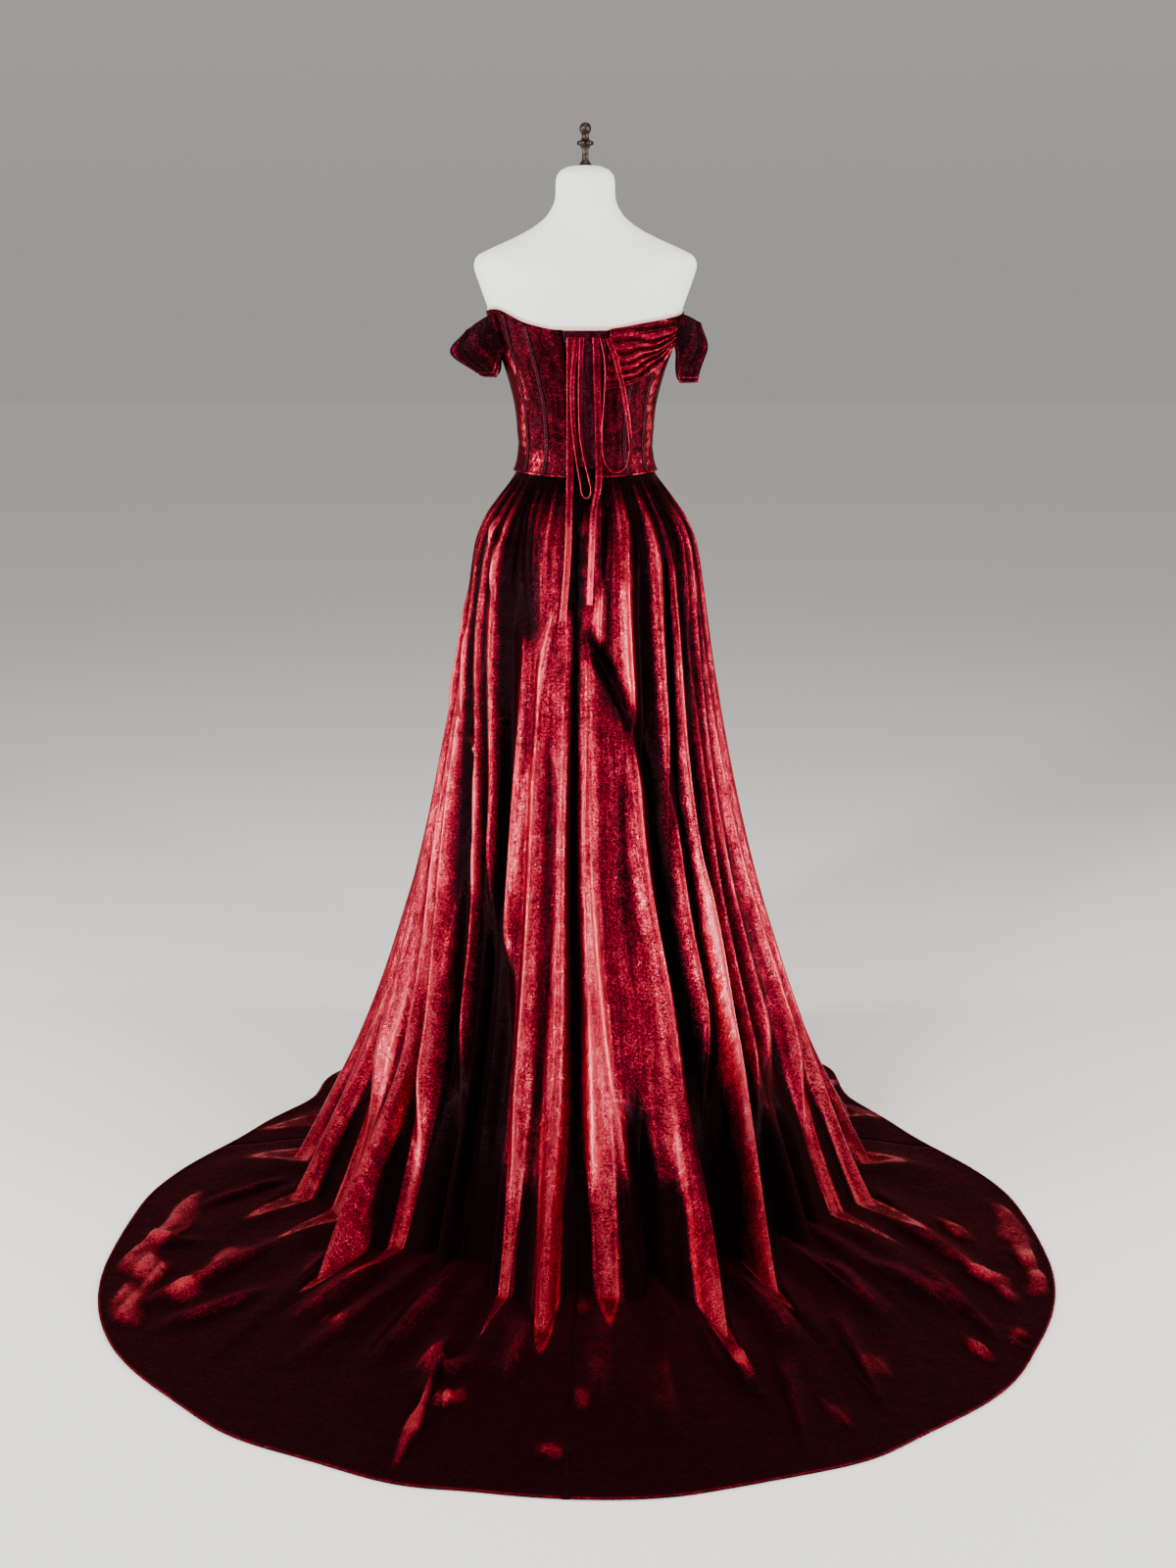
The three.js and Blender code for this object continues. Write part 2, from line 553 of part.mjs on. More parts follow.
// A boning channel lies over a seam, a seam gap off the panels.
function channelGeometry(sign, seam) {
  const surface = (across, share) => {
    const angle = sign * seamAngle(seam, share);
    const panel = bodicePanel(() => angle, () => angle, BODICE_FACE + SEAM_GAP + CHANNEL_THICKNESS);
    const beside = panel(0, share);
    const tangent = onForm(angle + 1, beside.z, 0).sub(onForm(angle - 1, beside.z, 0)).normalize();
    return beside.addScaledVector(tangent, across * CHANNEL_WIDTH / 2);
  };
  return clothWall(surface, [1, -1], BODICE_SHARES.map((share) => 0.01 + 0.97 * share), CHANNEL_THICKNESS);
}

// Pieces that fill the open centre back, between the edges of the two back panels.
function buildCentreBack() {
  const modesty = (across, height) => onForm(across, height, LINING_OFFSET + VELVET);
  addPiece('modesty_panel', clothWall(
    modesty, evenPlaces(MODESTY.sides, -MODESTY.sides, 6), evenPlaces(MODESTY.from, MODESTY.to, 8), VELVET,
  ), SHADES.darkVelvet, 0.5);
  const placket = (across, height) => {
    const share = (height - bodiceHem(0)) / (neckline(0) - bodiceHem(0));
    return onForm(across * seamAngle(BODICE_SEAMS.backEdge, share), height, BODICE_FACE);
  };
  addPiece('back_placket', clothWall(
    placket, evenPlaces(1, -1, 6), PLACKET_HEIGHTS, VELVET,
  ), SHADES.darkVelvet, 0.5);
}

// The pale lining shows as a narrow edge above the velvet, from side to side of the back.
function buildLining() {
  const { shows, width, sides } = LINING_EDGE;
  const surface = (across, share) => {
    const top = neckline(across) + shows;
    return onForm(across, THREE.MathUtils.lerp(top - width, top, share), LINING_OFFSET + LINING);
  };
  const places = evenPlaces(sides, -sides, 30);
  addPiece('lining_edge', clothWall(surface, places, [0, 0.5, 1], LINING), SHADES.lining, 0.5);
}

// ---------------------------------------------------------------- swag and sleeves

// The swag's edges by share of its way from the centre back to the side.
const SWAG_EDGES = [
  { share: 0, angle: -15, low: 1266, high: 1367 },
  { share: 0.35, angle: -36, low: 1276, high: 1374 },
  { share: 0.7, angle: -54, low: 1294, high: 1380 },
  { share: 1, angle: -67, low: 1322, high: 1377 },
];
const SWAG_GATHERS = 6;

function swagSurface(share, up) {
  const edge = (column) => columnCurve(SWAG_EDGES, 'share', column)(share);
  const height = THREE.MathUtils.lerp(edge('low'), edge('high'), up);
  const gather = 0.5 - 0.5 * Math.cos(2 * Math.PI * SWAG_GATHERS * up);
  const fullness = 3 + 4 * Math.sin(Math.PI * share * 0.8);
  return onForm(edge('angle'), height, SWAG_OFFSET + gather * fullness);
}

function buildSwag() {
  addPiece('swag_back_right', clothWall(
    swagSurface, evenPlaces(0, 1, 7), evenPlaces(0, 1, SWAG_GATHERS * 3), VELVET,
  ), SHADES.velvet, 0.4);
}

// An off-shoulder sleeve: a gathered loop from the bodice's back to its front, round the arm.
// stand is how far it bulges past the bodice's side at its top, halfway and at its hem, and
// sink is how much closer its sewn ends lie to the bodice, because they leave it edge on. Only the
// top of each end is sewn on: the hem rises by rise on its way there and leaves an armhole.
const SLEEVES = {
  left: {
    side: 1, top: 1390, hem: 1284, shoulderDrop: 30, stand: [44, 80, 40], end: 64, sink: 0.1, rise: 44, gathers: 5,
  },
  right: {
    side: -1, top: 1389, hem: 1274, shoulderDrop: 16, stand: [34, 57, 58], end: 73, sink: 0.85, rise: 62, gathers: 5,
  },
};
const SLEEVE_GATHER = 3.5;
const SLEEVE_FLARE = 0.12;       // how much the hem widens along the arm's front and back

function sleeveSurface({ side, top, hem, shoulderDrop, stand, end, sink, rise, gathers }) {
  const standOut = curveThrough([0, 0.5, 1], [...stand].reverse());
  return (along, up) => {
    const arch = Math.max(0, Math.sin(Math.PI * along));
    const lowest = hem + rise * (1 - THREE.MathUtils.smoothstep(arch, 0, 0.5));
    const height = THREE.MathUtils.lerp(lowest, top - shoulderDrop * arch, up);
    const off = BODICE_FACE + 1.5 * SEAM_GAP - sink;
    const back = onForm(side * end, height, off + VELVET);
    const front = onForm(side * (180 - end), height, off + VELVET);
    const point = back.lerp(front, along);
    const bodySide = Math.abs(onForm(side * 90, height, off).x) - Math.abs(point.x);
    const gather = Math.cos(2 * Math.PI * gathers * along) * SLEEVE_GATHER * arch * (1.3 - up);
    point.x += side * arch ** 0.8 * (bodySide + standOut(up) + gather);
    point.y *= 1 + SLEEVE_FLARE * (1 - up);
    return point;
  };
}

function buildSleeves() {
  Object.entries(SLEEVES).forEach(([hand, sleeve]) => {
    const steps = sleeve.gathers * 4;
    const alongs = sleeve.side > 0 ? evenPlaces(1, 0, steps) : evenPlaces(0, 1, steps);
    const surface = sleeveSurface(sleeve);
    addPiece(`sleeve_${hand}`, clothWall(surface, alongs, evenPlaces(0, 1, 4), VELVET), SHADES.velvet, 0.45);
  });
}

// ---------------------------------------------------------------- ribbons

// Each ribbon's route from the placket, chosen by hand. turn is how far its flat side has
// turned about the route: 0 faces the back, 90 is edge on.
const RIBBONS = {
  ribbon_tail_left: { width: 11, steps: 15, route: [
    { x: 25.4, y: 105.5, z: 1353, turn: 0 },
    { x: 25.5, y: 107.8, z: 1325, turn: 0 },
    { x: 25.5, y: 108, z: 1232, turn: 4 },
    { x: 25.8, y: 108, z: 1135, turn: 0 },
    { x: 26.2, y: 109, z: 1105, turn: 0 },
    { x: 26.8, y: 116, z: 1086, turn: 0 },
    { x: 27.3, y: 135.5, z: 1060, turn: 0 },
    { x: 28, y: 157, z: 1022, turn: 0 },
    { x: 30, y: 173.5, z: 980, turn: 0 },
    { x: 33, y: 186.5, z: 940, turn: 0 },
    { x: 37.5, y: 201.5, z: 894, turn: 0 },
  ] },
  ribbon_tail_right: { width: 11, steps: 15, route: [
    { x: -17.4, y: 105.9, z: 1353, turn: 0 },
    { x: -18.2, y: 107.8, z: 1325, turn: 0 },
    { x: -20.7, y: 108, z: 1232, turn: -4 },
    { x: -22.3, y: 108, z: 1135, turn: 0 },
    { x: -21.2, y: 110, z: 1105, turn: 8 },
    { x: -16.5, y: 121.5, z: 1084, turn: 20 },
    { x: -13.2, y: 140.5, z: 1060, turn: 25 },
    { x: -11, y: 163.3, z: 1022, turn: 28 },
    { x: -9.4, y: 181, z: 980, turn: 28 },
    { x: -8.2, y: 190.8, z: 951, turn: 28 },
    { x: -6.9, y: 200.6, z: 922, turn: 28 },
  ] },
  ribbon_loop_left: { width: 8, steps: 22, route: [
    { x: 5.5, y: 106.8, z: 1353, turn: 10 },
    { x: 7.5, y: 110.5, z: 1312, turn: 25 },
    { x: 8.5, y: 111.5, z: 1265, turn: 35 },
    { x: 8, y: 112, z: 1200, turn: 50 },
    { x: 2, y: 113.5, z: 1158, turn: 65 },
    { x: -5, y: 116, z: 1125, turn: 80 },
    { x: -9, y: 118.5, z: 1102, turn: 90 },
    { x: -4, y: 120, z: 1090, turn: 90 },
    { x: 5, y: 119.5, z: 1095, turn: 90 },
    { x: 8.5, y: 117, z: 1116, turn: 100 },
    { x: 13, y: 114, z: 1150, turn: 125 },
    { x: 18, y: 112.5, z: 1190, turn: 145 },
    { x: 21.2, y: 112, z: 1232, turn: 155 },
    { x: 21.2, y: 112, z: 1285, turn: 160 },
    { x: 17, y: 110.5, z: 1325, turn: 168 },
    { x: 14.5, y: 106.4, z: 1353, turn: 175 },
  ] },
  ribbon_loop_right: { width: 9, steps: 24, route: [
    { x: -27, y: 109.5, z: 1352, turn: 45 },
    { x: -32, y: 115, z: 1326, turn: 60 },
    { x: -33.5, y: 118.5, z: 1300, turn: 75 },
    { x: -32, y: 117.5, z: 1259, turn: 80 },
    { x: -27.8, y: 115, z: 1200, turn: 85 },
    { x: -28.5, y: 113, z: 1163, turn: 90 },
    { x: -37, y: 111, z: 1140, turn: 90 },
    { x: -52, y: 109, z: 1131.5, turn: 90 },
    { x: -67, y: 106, z: 1140, turn: 95 },
    { x: -74, y: 104, z: 1164, turn: 110 },
    { x: -74.3, y: 104, z: 1190, turn: 132 },
    { x: -68, y: 108, z: 1238, turn: 150 },
    { x: -60, y: 113.5, z: 1280, turn: 155 },
    { x: -48, y: 117, z: 1325, turn: 160 },
    { x: -37, y: 115, z: 1352, turn: 165 },
  ] },
};

// A flat eight-sided section swept along the route.
function ribbonGeometry({ width, steps, route }) {
  const curve = new THREE.CatmullRomCurve3(route.map(({ x, y, z }) => new THREE.Vector3(x, y, z)));
  const turnAt = curveThrough(route.map((_, i) => i / (route.length - 1)), route.map(({ turn }) => turn));
  const half = width / 2;
  const thin = RIBBON / 2;
  const section = [
    [half, -thin / 2], [half, thin / 2], [half * 0.7, thin], [-half * 0.7, thin],
    [-half, thin / 2], [-half, -thin / 2], [-half * 0.7, -thin], [half * 0.7, -thin],
  ];
  const positions = [];
  const indices = [];
  const backwards = new THREE.Vector3(0, 1, 0);
  evenPlaces(0, 1, steps).forEach((share, ring) => {
    const centre = curve.getPoint(share);
    const along = curve.getTangent(share);
    const face = backwards.clone().addScaledVector(along, -backwards.dot(along)).normalize();
    const inPlane = along.clone().cross(face);
    const turn = radians(turnAt(share));
    const flat = inPlane.clone().multiplyScalar(Math.cos(turn)).addScaledVector(face, Math.sin(turn));
    const square = along.clone().cross(flat);
    section.forEach(([a, b], i) => {
      const p = centre.clone().addScaledVector(flat, a).addScaledVector(square, b);
      positions.push(p.x, p.y, p.z);
      if (ring === 0) return;
      const here = ring * section.length;
      const next = (i + 1) % section.length;
      const [p0, p1, p2, p3] = [here - section.length + i, here - section.length + next, here + next, here + i];
      indices.push(p0, p1, p2, p0, p2, p3);
    });
  });
  const lastRing = steps * section.length;
  for (let i = 1; i < section.length - 1; i += 1) {
    indices.push(0, i + 1, i);
    indices.push(lastRing, lastRing + i, lastRing + i + 1);
  }
  const geometry = new THREE.BufferGeometry();
  geometry.setAttribute('position', new THREE.Float32BufferAttribute(positions, 3));
  geometry.setIndex(indices);
  return geometry;
}

function buildRibbons() {
  Object.entries(RIBBONS).forEach(([name, ribbon]) => {
    addPiece(name, ribbonGeometry(ribbon), SHADES.velvet, 0.4);
  });
}

buildForm();
buildSkirt();
buildBodice();
buildCentreBack();
buildLining();
buildSwag();
buildSleeves();
buildRibbons();

export default dress;
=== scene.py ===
"""An A-line prom dress in crimson shimmer velvet, tied with ribbons at the back, on a dress form.

Metres, +Z up. The dress's front faces -Y and its train runs out to +Y, over the floor at Z = 0.
The tables and the functions that make shapes are in millimetres, and the meshes turn their points to
metres. Angles round the body are in degrees from the centre back, growing towards +X.
"""

import math

import bpy
import numpy as np
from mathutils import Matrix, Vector


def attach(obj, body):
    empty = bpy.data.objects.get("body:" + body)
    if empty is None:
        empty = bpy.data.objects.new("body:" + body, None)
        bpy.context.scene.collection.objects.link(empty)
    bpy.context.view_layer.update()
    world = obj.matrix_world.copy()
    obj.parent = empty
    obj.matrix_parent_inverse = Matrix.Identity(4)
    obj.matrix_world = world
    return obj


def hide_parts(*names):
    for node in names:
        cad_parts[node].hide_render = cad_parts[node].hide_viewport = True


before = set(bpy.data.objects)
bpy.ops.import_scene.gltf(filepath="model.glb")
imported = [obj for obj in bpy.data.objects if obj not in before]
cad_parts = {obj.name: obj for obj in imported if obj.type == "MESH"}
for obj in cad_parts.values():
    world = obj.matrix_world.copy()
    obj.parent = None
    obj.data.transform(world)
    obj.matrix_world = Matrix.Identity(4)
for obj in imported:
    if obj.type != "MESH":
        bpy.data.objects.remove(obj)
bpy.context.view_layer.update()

# ---------------------------------------------------------------- sizes

# Walls of cloth and how far each lies off the form, and the heights of the waist's edges.
SEAM_GAP = 0.3
VELVET = 2.0
LINING = 1.5
LINING_OFFSET = 0.7
BODICE_OFFSET = 3.6
BODICE_FACE = BODICE_OFFSET + VELVET
BODICE_HEM = 1121
SKIRT_WAIST = 1122
SKIRT_TOP = 1138
BODICE_FLARE = {"stand": 2.2, "height": 22}
CHANNEL_WIDTH = 6
CHANNEL_THICKNESS = 1.2
SWAG_OFFSET = BODICE_FACE + CHANNEL_THICKNESS + 1.5 + VELVET
LINING_EDGE = {"shows": 5, "width": 20, "sides": 100}
MODESTY = {"sides": 20, "from": SKIRT_TOP + SEAM_GAP, "to": 1349.5}
NECK_TOP = 1631


def columns(names, rows):
    """A table as one array for each named column."""
    return dict(zip(names.split(), np.array(rows, float).T))


# The form's half width and its depths to the back and the front, from its foot up to its neck.
FORM = columns("height half back front", [
    (850, 146, 112, 96), (880, 157, 119, 101), (940, 162, 123, 102), (1000, 154, 118, 99),
    (1060, 138, 104, 93), (1120, 117, 87, 85), (1170, 109, 81, 82), (1225, 113, 85, 88),
    (1290, 128, 93, 103), (1345, 148, 99, 117), (1392, 162, 100, 110), (1440, 179, 96, 92),
    (1468, 187, 88, 78), (1482, 183, 79, 68), (1496, 158, 70, 61), (1512, 122, 62, 56),
    (1530, 88, 56, 52), (1552, 62, 51, 49), (1580, 50, 48, 47), (1608, 49, 47, 47),
    (1622, 42, 41, 41), (1629, 28, 27, 27),
])
FORM_FOOT, FORM_TOP = FORM["height"][[0, -1]]
# The crown of the neck: the share of the last section's size at each height.
NECK_CROWN = ((0.7, 1630.4), (0.35, 1631), (0.02, NECK_TOP))

# The turned finial, as radius and height over the neck.
FINIAL = (
    (0.01, 0), (11, 0), (11, 1), (9.4, 2.5), (8.8, 4), (7, 6), (5.7, 9), (5.4, 14), (5.2, 20), (5.5, 25),
    (6, 27), (7.6, 28.5), (8.2, 30), (9.5, 31.2), (13, 32.4), (14, 34), (14, 37), (13.2, 38.4), (10, 39.6),
    (7.4, 41), (6.2, 44), (5.8, 48), (6.4, 50.5), (8.2, 53), (9.4, 56), (9.9, 59.5), (9.3, 63), (7.6, 66),
    (5, 68), (2.4, 68.9), (0.01, 69),
)

# The skirt's oval at each height, with its widest place at centre, and how deep its folds are there.
SKIRT = columns("height half centre back front fold_back fold_front", [
    (0, 502, 340, 960, 436, 175, 60), (30, 478, 275, 880, 425, 150, 56),
    (80, 445, 200, 765, 403, 122, 51), (150, 406, 150, 665, 380, 98, 46),
    (230, 371, 100, 575, 352, 80, 42), (330, 336, 57, 490, 320, 64, 37),
    (440, 302, 30, 415, 288, 52, 32), (560, 272, 14, 350, 256, 42, 27),
    (680, 247, 6, 293, 226, 33, 22), (800, 226, 2, 245, 202, 26, 18),
    (920, 208, 0, 201, 176, 20, 14), (1000, 195, 0, 172, 155, 15, 11),
    (1045, 176, 0, 149, 136, 11, 8), (1080, 151, 0, 123, 114, 7, 6),
    (1106, 130, 0, 102, 97, 3, 3), (1122, 119.3, 0, 89.6, 87.4, 0, 0),
])

# The train's rim: an oval, a little wider at +X, pinched in beside the feet, with waves under the folds.
HEM = {"half": 712, "centre": 730, "back": 1462, "front": 462}
HEM_LEAN = 0.018
HEM_PINCH = {"share": 0.14, "start": 100, "over": 50}
RIM_WAVES = {"under_folds": 18, "uneven": 4}
TRAIN_RIPPLE = 7

# Which angle of the rim lies out from each angle of the skirt's foot.
TRAIN_SPREAD = columns("foot rim", [
    (-180, -180), (-150, -157), (-130, -141), (-110, -123), (-90, -106), (-60, -66), (-30, -33),
    (0, 0), (30, 33), (60, 66), (90, 106), (110, 123), (130, 141), (150, 157), (180, 180),
])

# One row for each fold of the skirt, from the -X side over the back to the +X side and round the
# front: its angle at five heights, how full it stands high up and low down, how far its toe runs
# out, where a fold that doesn't reach the floor ends, which way it leans over, and how deep the
# valley is between it and the next fold.
STATIONS = {"waist": 1110, "hip": 920, "knee": 600, "shin": 250, "toe": 0}
FOLDS = columns("waist hip knee shin toe upper lower reach ends lean valley", [
    (-97, -95, -93, -92, -89, 0.8, 0.8, 0, 0, 0.3, 0.8),
    (-87, -84, -79, -80, -73, 0.9, 1.0, -20, 0, -0.5, 0.5),
    (-78, -74, -66, -70, -60, 0.6, 1.0, -90, 0, 0.6, 0.7),
    (-69, -66, -59, -59, -53, 0.8, 0.9, 0, 70, -0.3, 0.5),
    (-60, -58, -53, -51, -44, 0.5, 0.8, 0, 40, 0.2, 0.9),
    (-50, -50, -45, -44, -35, 0.9, 1.0, 10, 0, -0.7, 0.9),
    (-39, -35, -34, -35, -29, 1.0, 0.9, 0, 120, 0.5, 1),
    (-26, -21, -21, -26, -22, 0.9, 1.0, 95, 0, -0.4, 0.3),
    (-13, -10, -10, -12, -13, 0.5, 0.7, 0, 60, 0.3, 0.35),
    (-3, -1, -1, -3, -5, 0.8, 0.9, -60, 0, -0.2, 0.6),
    (11, 10, 10, 8, 8, 0.6, 0.9, 60, 0, 0.5, 0.35),
    (22, 19, 18, 16, 14, 0.7, 1.0, -60, 0, -0.6, 0.4),
    (36, 31, 28, 24, 20, 0.6, 0.9, 0, 240, 0.2, 1),
    (49, 48, 38, 31, 27, 0.9, 0.8, 0, 350, -0.5, 0.7),
    (60, 63, 48, 38, 34, 0.9, 0.7, 0, 100, 0.6, 0.8),
    (70, 73, 63, 46, 41, 0.8, 1.0, -120, 0, -0.3, 0.6),
    (78, 80, 72, 56, 49, 0.6, 0.9, 80, 0, 0.7, 0.5),
    (85, 86, 80, 66, 60, 0.8, 1.0, -90, 0, -0.4, 0.6),
    (92, 92, 88, 79, 75, 0.7, 0.9, 0, 0, 0.3, 0.8),
    (100, 99, 97, 93, 90, 0.8, 0.9, 0, 0, -0.5, 0.9),
    (113, 111, 109, 107, 106, 0.8, 0.9, 0, 0, 0.4, 0.9),
    (127, 125, 124, 122, 121, 0.9, 1.0, 0, 0, -0.6, 0.6),
    (141, 141, 139, 138, 138, 0.7, 0.8, 0, 0, 0.2, 1),
    (156, 154, 155, 154, 153, 0.9, 1.0, 0, 0, 0.5, 0.7),
    (171, 170, 168, 169, 170, 0.6, 0.8, 0, 0, -0.3, 0.9),
    (185, 186, 187, 186, 185, 0.9, 1.0, 0, 0, 0.6, 0.6),
    (201, 200, 202, 203, 203, 0.8, 0.9, 0, 0, -0.4, 1),
    (217, 218, 217, 218, 219, 0.9, 1.0, 0, 0, 0.3, 0.8),
    (232, 232, 233, 235, 236, 0.7, 0.8, 0, 0, -0.6, 0.7),
    (248, 249, 250, 252, 254, 0.9, 0.9, 0, 0, 0.4, 0.9),
])
FOLD_COUNT = len(FOLDS["waist"])

# The seams' places in the count of folds.
CENTRE_BACK_SEAM = 9.5
SIDE_SEAM_LEFT = 19.5
SIDE_SEAM_RIGHT = -0.5

# Over how much height a fold that ends fades in, a toe runs out and the folds turn into the train's way.
FOLD_FADE = 200
TOE_HEIGHT = 220
SQUARE_HEIGHT = 420

# Between which heights a thing in the skirt or the bodice comes in or goes out.
LEVELS = {
    "folds wander": (40, 300),
    "folds in the skirt's upper part": (STATIONS["knee"], STATIONS["hip"]),
    "folds without toes": (0, TOE_HEIGHT),
    "folds square to the skirt": (0, SQUARE_HEIGHT),
    "toes without bright edges": (60, 380),
    "puckered seam": (60, 400),
    "crests without shine": (800, 1000),
    "under ribbons": (850, 930),
    "closed opening": (880, 930),
    "gathers": (900, 1075),
    "gathers pressed flat": (1098, SKIRT_WAIST),
    "bodice's shade": (1040, 1118),
    "bodice over the seam": (1060, 1110),
    "pressed sides": (1140, 1180),
    "sides under the sleeves": (1310, 1350),
}

# The centre-back seam: its groove, the puckers that its stitches draw in, which are deeper in the closed
# opening, and how far the painted shade spreads there.
SEAM = {"groove": 2.2, "groove_width": 3.5, "pucker": 2.2, "more": 1.6, "pucker_width": 12, "shade_width": 14}
# Gathers under the waist: their height, and how many lie in a fold, with finer ones between them.
GATHERS = {"height": 2.4, "in_fold": 2, "finer": 3.3}
# The skirt under the hanging ribbons: how wide it is pressed, how much of its relief that takes and how deep.
UNDER_RIBBONS = {"width": 30, "calm": 0.8, "pressed": 1.2}
# How much painted shade the velvet takes in the valleys and under the bodice, and how much painted highlight
# at the toes and crests.
SHADE = {"valley": 1.15, "bodice": 0.5, "toe": 0.45, "crest": 0.17}

# Where the painted floor shade begins: its height in a valley, how much further down and out that is on a
# full crest, the stretch over which it darkens, and the width of the painted highlight along the edge above
# it.
FLOOR_SHADE_START = {"height": 75, "finger": 250, "over": 50, "edge": 15}

# Each panel of the skirt: the seams that it lies between, its points for each fold and its cut.
SKIRT_PANELS = {
    "skirt_back_right": (SIDE_SEAM_RIGHT, CENTRE_BACK_SEAM, 24, {"flat": (1.75, 2.05), "area": 1.56}),
    "skirt_back_left": (CENTRE_BACK_SEAM, SIDE_SEAM_LEFT, 24, {"flat": (1.75, 2.05), "area": 1.47}),
    "skirt_front": (SIDE_SEAM_LEFT, FOLD_COUNT + SIDE_SEAM_RIGHT, 20, {"flat": (1.7, 1.3), "area": 1.28}),
}
# The rows of a panel's points: shares of the train from its hem in to the folds' foot, then heights up
# to the waist, closer where the cloth turns more, and the tuck under the bodice.
TRAIN_ROWS = np.concatenate([
    [1, 0.9985, 0.997, 0.9945, 0.99, 0.98], np.linspace(0.965, 0.34, 25), np.linspace(0.32, 0.015, 21),
])[:, None]
HANGING_ROWS = np.concatenate([
    np.linspace(2, 100, 22), np.linspace(108, 420, 34), np.linspace(432, 1030, 62),
    np.linspace(1037, SKIRT_WAIST, 15),
])[:, None]
TUCK_ROWS = np.array([1127.0, 1132.0, SKIRT_TOP])[:, None]

# Creases in the skirt over its folds. Each runs from a place in the count of folds and a height down
# to another, bows sideways by bow folds, and is width wide and depth deep. Below 0, the depth is a
# ridge.
SKIRT_CREASES = columns("top_count top low_count low bow width depth", [
    (9.8, 925, 6.25, 560, -0.8, 17, 13), (5.3, 1020, 6.2, 470, -0.1, 11, 10),
    (6.15, 520, 7.1, 20, 0.25, 15, 11), (12.3, 1085, 11.6, 840, 0.2, 24, 11),
    (5.75, 1065, 6.1, 590, -0.25, 6, -6), (4.8, 1104, 4.1, 850, -0.65, 7, -7),
    (4.15, 870, 4.75, 560, 0.1, 8, -6), (5.2, 860, 5.5, 480, 0.1, 7, -6),
    (10.2, 940, 11.1, 760, 0.3, 7, -6), (9.9, 930, 9.75, 790, -0.1, 9, -5),
    (8.2, 960, 8.4, 835, 0.1, 8, -8), (8.55, 850, 7.4, 800, 0.3, 8, 8),
    (15.3, 1088, 13.4, 920, -0.9, 7, -7), (13.35, 940, 13.6, 770, 0, 6, -6),
    (14.9, 880, 14.7, 690, 0, 7, -8), (14.8, 706, 13.8, 672, 0, 7, -9),
    (14.4, 690, 14.1, 500, 0.1, 17, 10), (13.85, 690, 13.45, 400, 0.15, 12, -8),
    (14.5, 490, 14.85, 310, 0, 7, -8), (8.95, 560, 8.2, 40, 0.15, 8, -7),
    (4.75, 560, 5.5, 90, 0.1, 13, -9), (5.0, 1095, 5.2, 960, 0, 8, 7),
    (16.95, 930, 17.05, 700, 0, 7, -7), (16.3, 940, 16.5, 640, 0.1, 12, 9),
    (6.75, 1010, 7.05, 720, 0.1, 16, -6), (7.7, 1090, 8.15, 950, 0.25, 8, 7),
    (8.7, 1095, 8.9, 985, 0, 7, -5), (6.45, 1095, 6.3, 960, 0, 9, 7),
    (7.4, 700, 7.75, 330, 0.15, 14, 5), (10.6, 720, 10.4, 330, -0.1, 12, 5),
    (11.35, 700, 11.6, 420, 0.1, 10, -5), (10.3, 420, 10.6, 60, 0.1, 13, 6),
    (9.1, 330, 9.25, 60, 0.05, 12, -7), (11.9, 420, 12.3, 90, 0.15, 17, 9),
    (1.6, 1090, 2.2, 780, 0.2, 8, 6), (2.6, 1080, 2.9, 880, -0.1, 8, -5),
    (3.4, 1085, 3.3, 690, 0.1, 9, 6), (2.2, 620, 2.5, 180, 0.2, 11, -7),
    (3.7, 560, 3.6, 140, -0.2, 12, 7), (15.6, 640, 15.5, 200, 0.1, 11, -6),
    (16.6, 520, 16.9, 120, -0.2, 12, -7), (17.5, 1080, 18.1, 700, -0.3, 9, 6),
    (17.4, 560, 17.3, 160, 0.2, 10, 6), (18.4, 560, 18.1, 200, 0.25, 11, 6),
    (20.6, 480, 20.9, 120, 0.2, 11, 5), (21.4, 1080, 21.9, 700, 0.3, 9, 6),
    (22.5, 1095, 22.2, 900, -0.1, 7, -5), (23.2, 1060, 22.7, 760, -0.2, 9, -5),
    (23.6, 520, 23.3, 160, -0.2, 12, -6), (24.5, 1090, 24.9, 640, 0.25, 10, 6),
    (25.6, 460, 25.9, 100, 0.2, 12, 6), (26.1, 1070, 26.6, 820, -0.3, 8, 6),
    (27.6, 1080, 27.2, 700, 0.2, 10, -5), (28.4, 500, 28.1, 140, -0.2, 11, -5),
])

# Creases in the train, from a place in the count of folds and a share of the way out to another.
TRAIN_CREASES = columns("inner_count inner outer_count outer width height", [
    (1.2, 0.15, 1.6, 0.85, 22, 12), (1.9, 0.45, 2.6, 0.9, 16, 9), (2.7, 0.3, 2.4, 0.72, 24, 11),
    (3.6, 0.1, 3.9, 0.6, 20, 10), (4.4, 0.4, 5.2, 0.8, 18, 8), (5.5, 0.12, 5.8, 0.55, 26, 12),
    (6.3, 0.5, 7.0, 0.9, 17, 8), (7.1, 0.08, 7.2, 0.5, 24, 13), (8.2, 0.3, 8.6, 0.75, 20, 8),
    (9.2, 0.1, 9.3, 0.65, 18, 10), (10.1, 0.08, 10.3, 0.5, 24, 12), (11.2, 0.35, 12.4, 0.62, 22, 13),
    (12.2, 0.4, 11.6, 0.74, 18, 11), (12.9, 0.1, 13.1, 0.6, 22, 10), (14.2, 0.2, 14.5, 0.7, 20, 9),
    (15.2, 0.1, 15.3, 0.55, 26, 12), (16.3, 0.4, 16.9, 0.86, 20, 12), (17.1, 0.25, 17.3, 0.92, 24, 14),
    (17.8, 0.5, 18.3, 0.9, 14, 10), (18.5, 0.2, 18.4, 0.7, 18, 9),
])
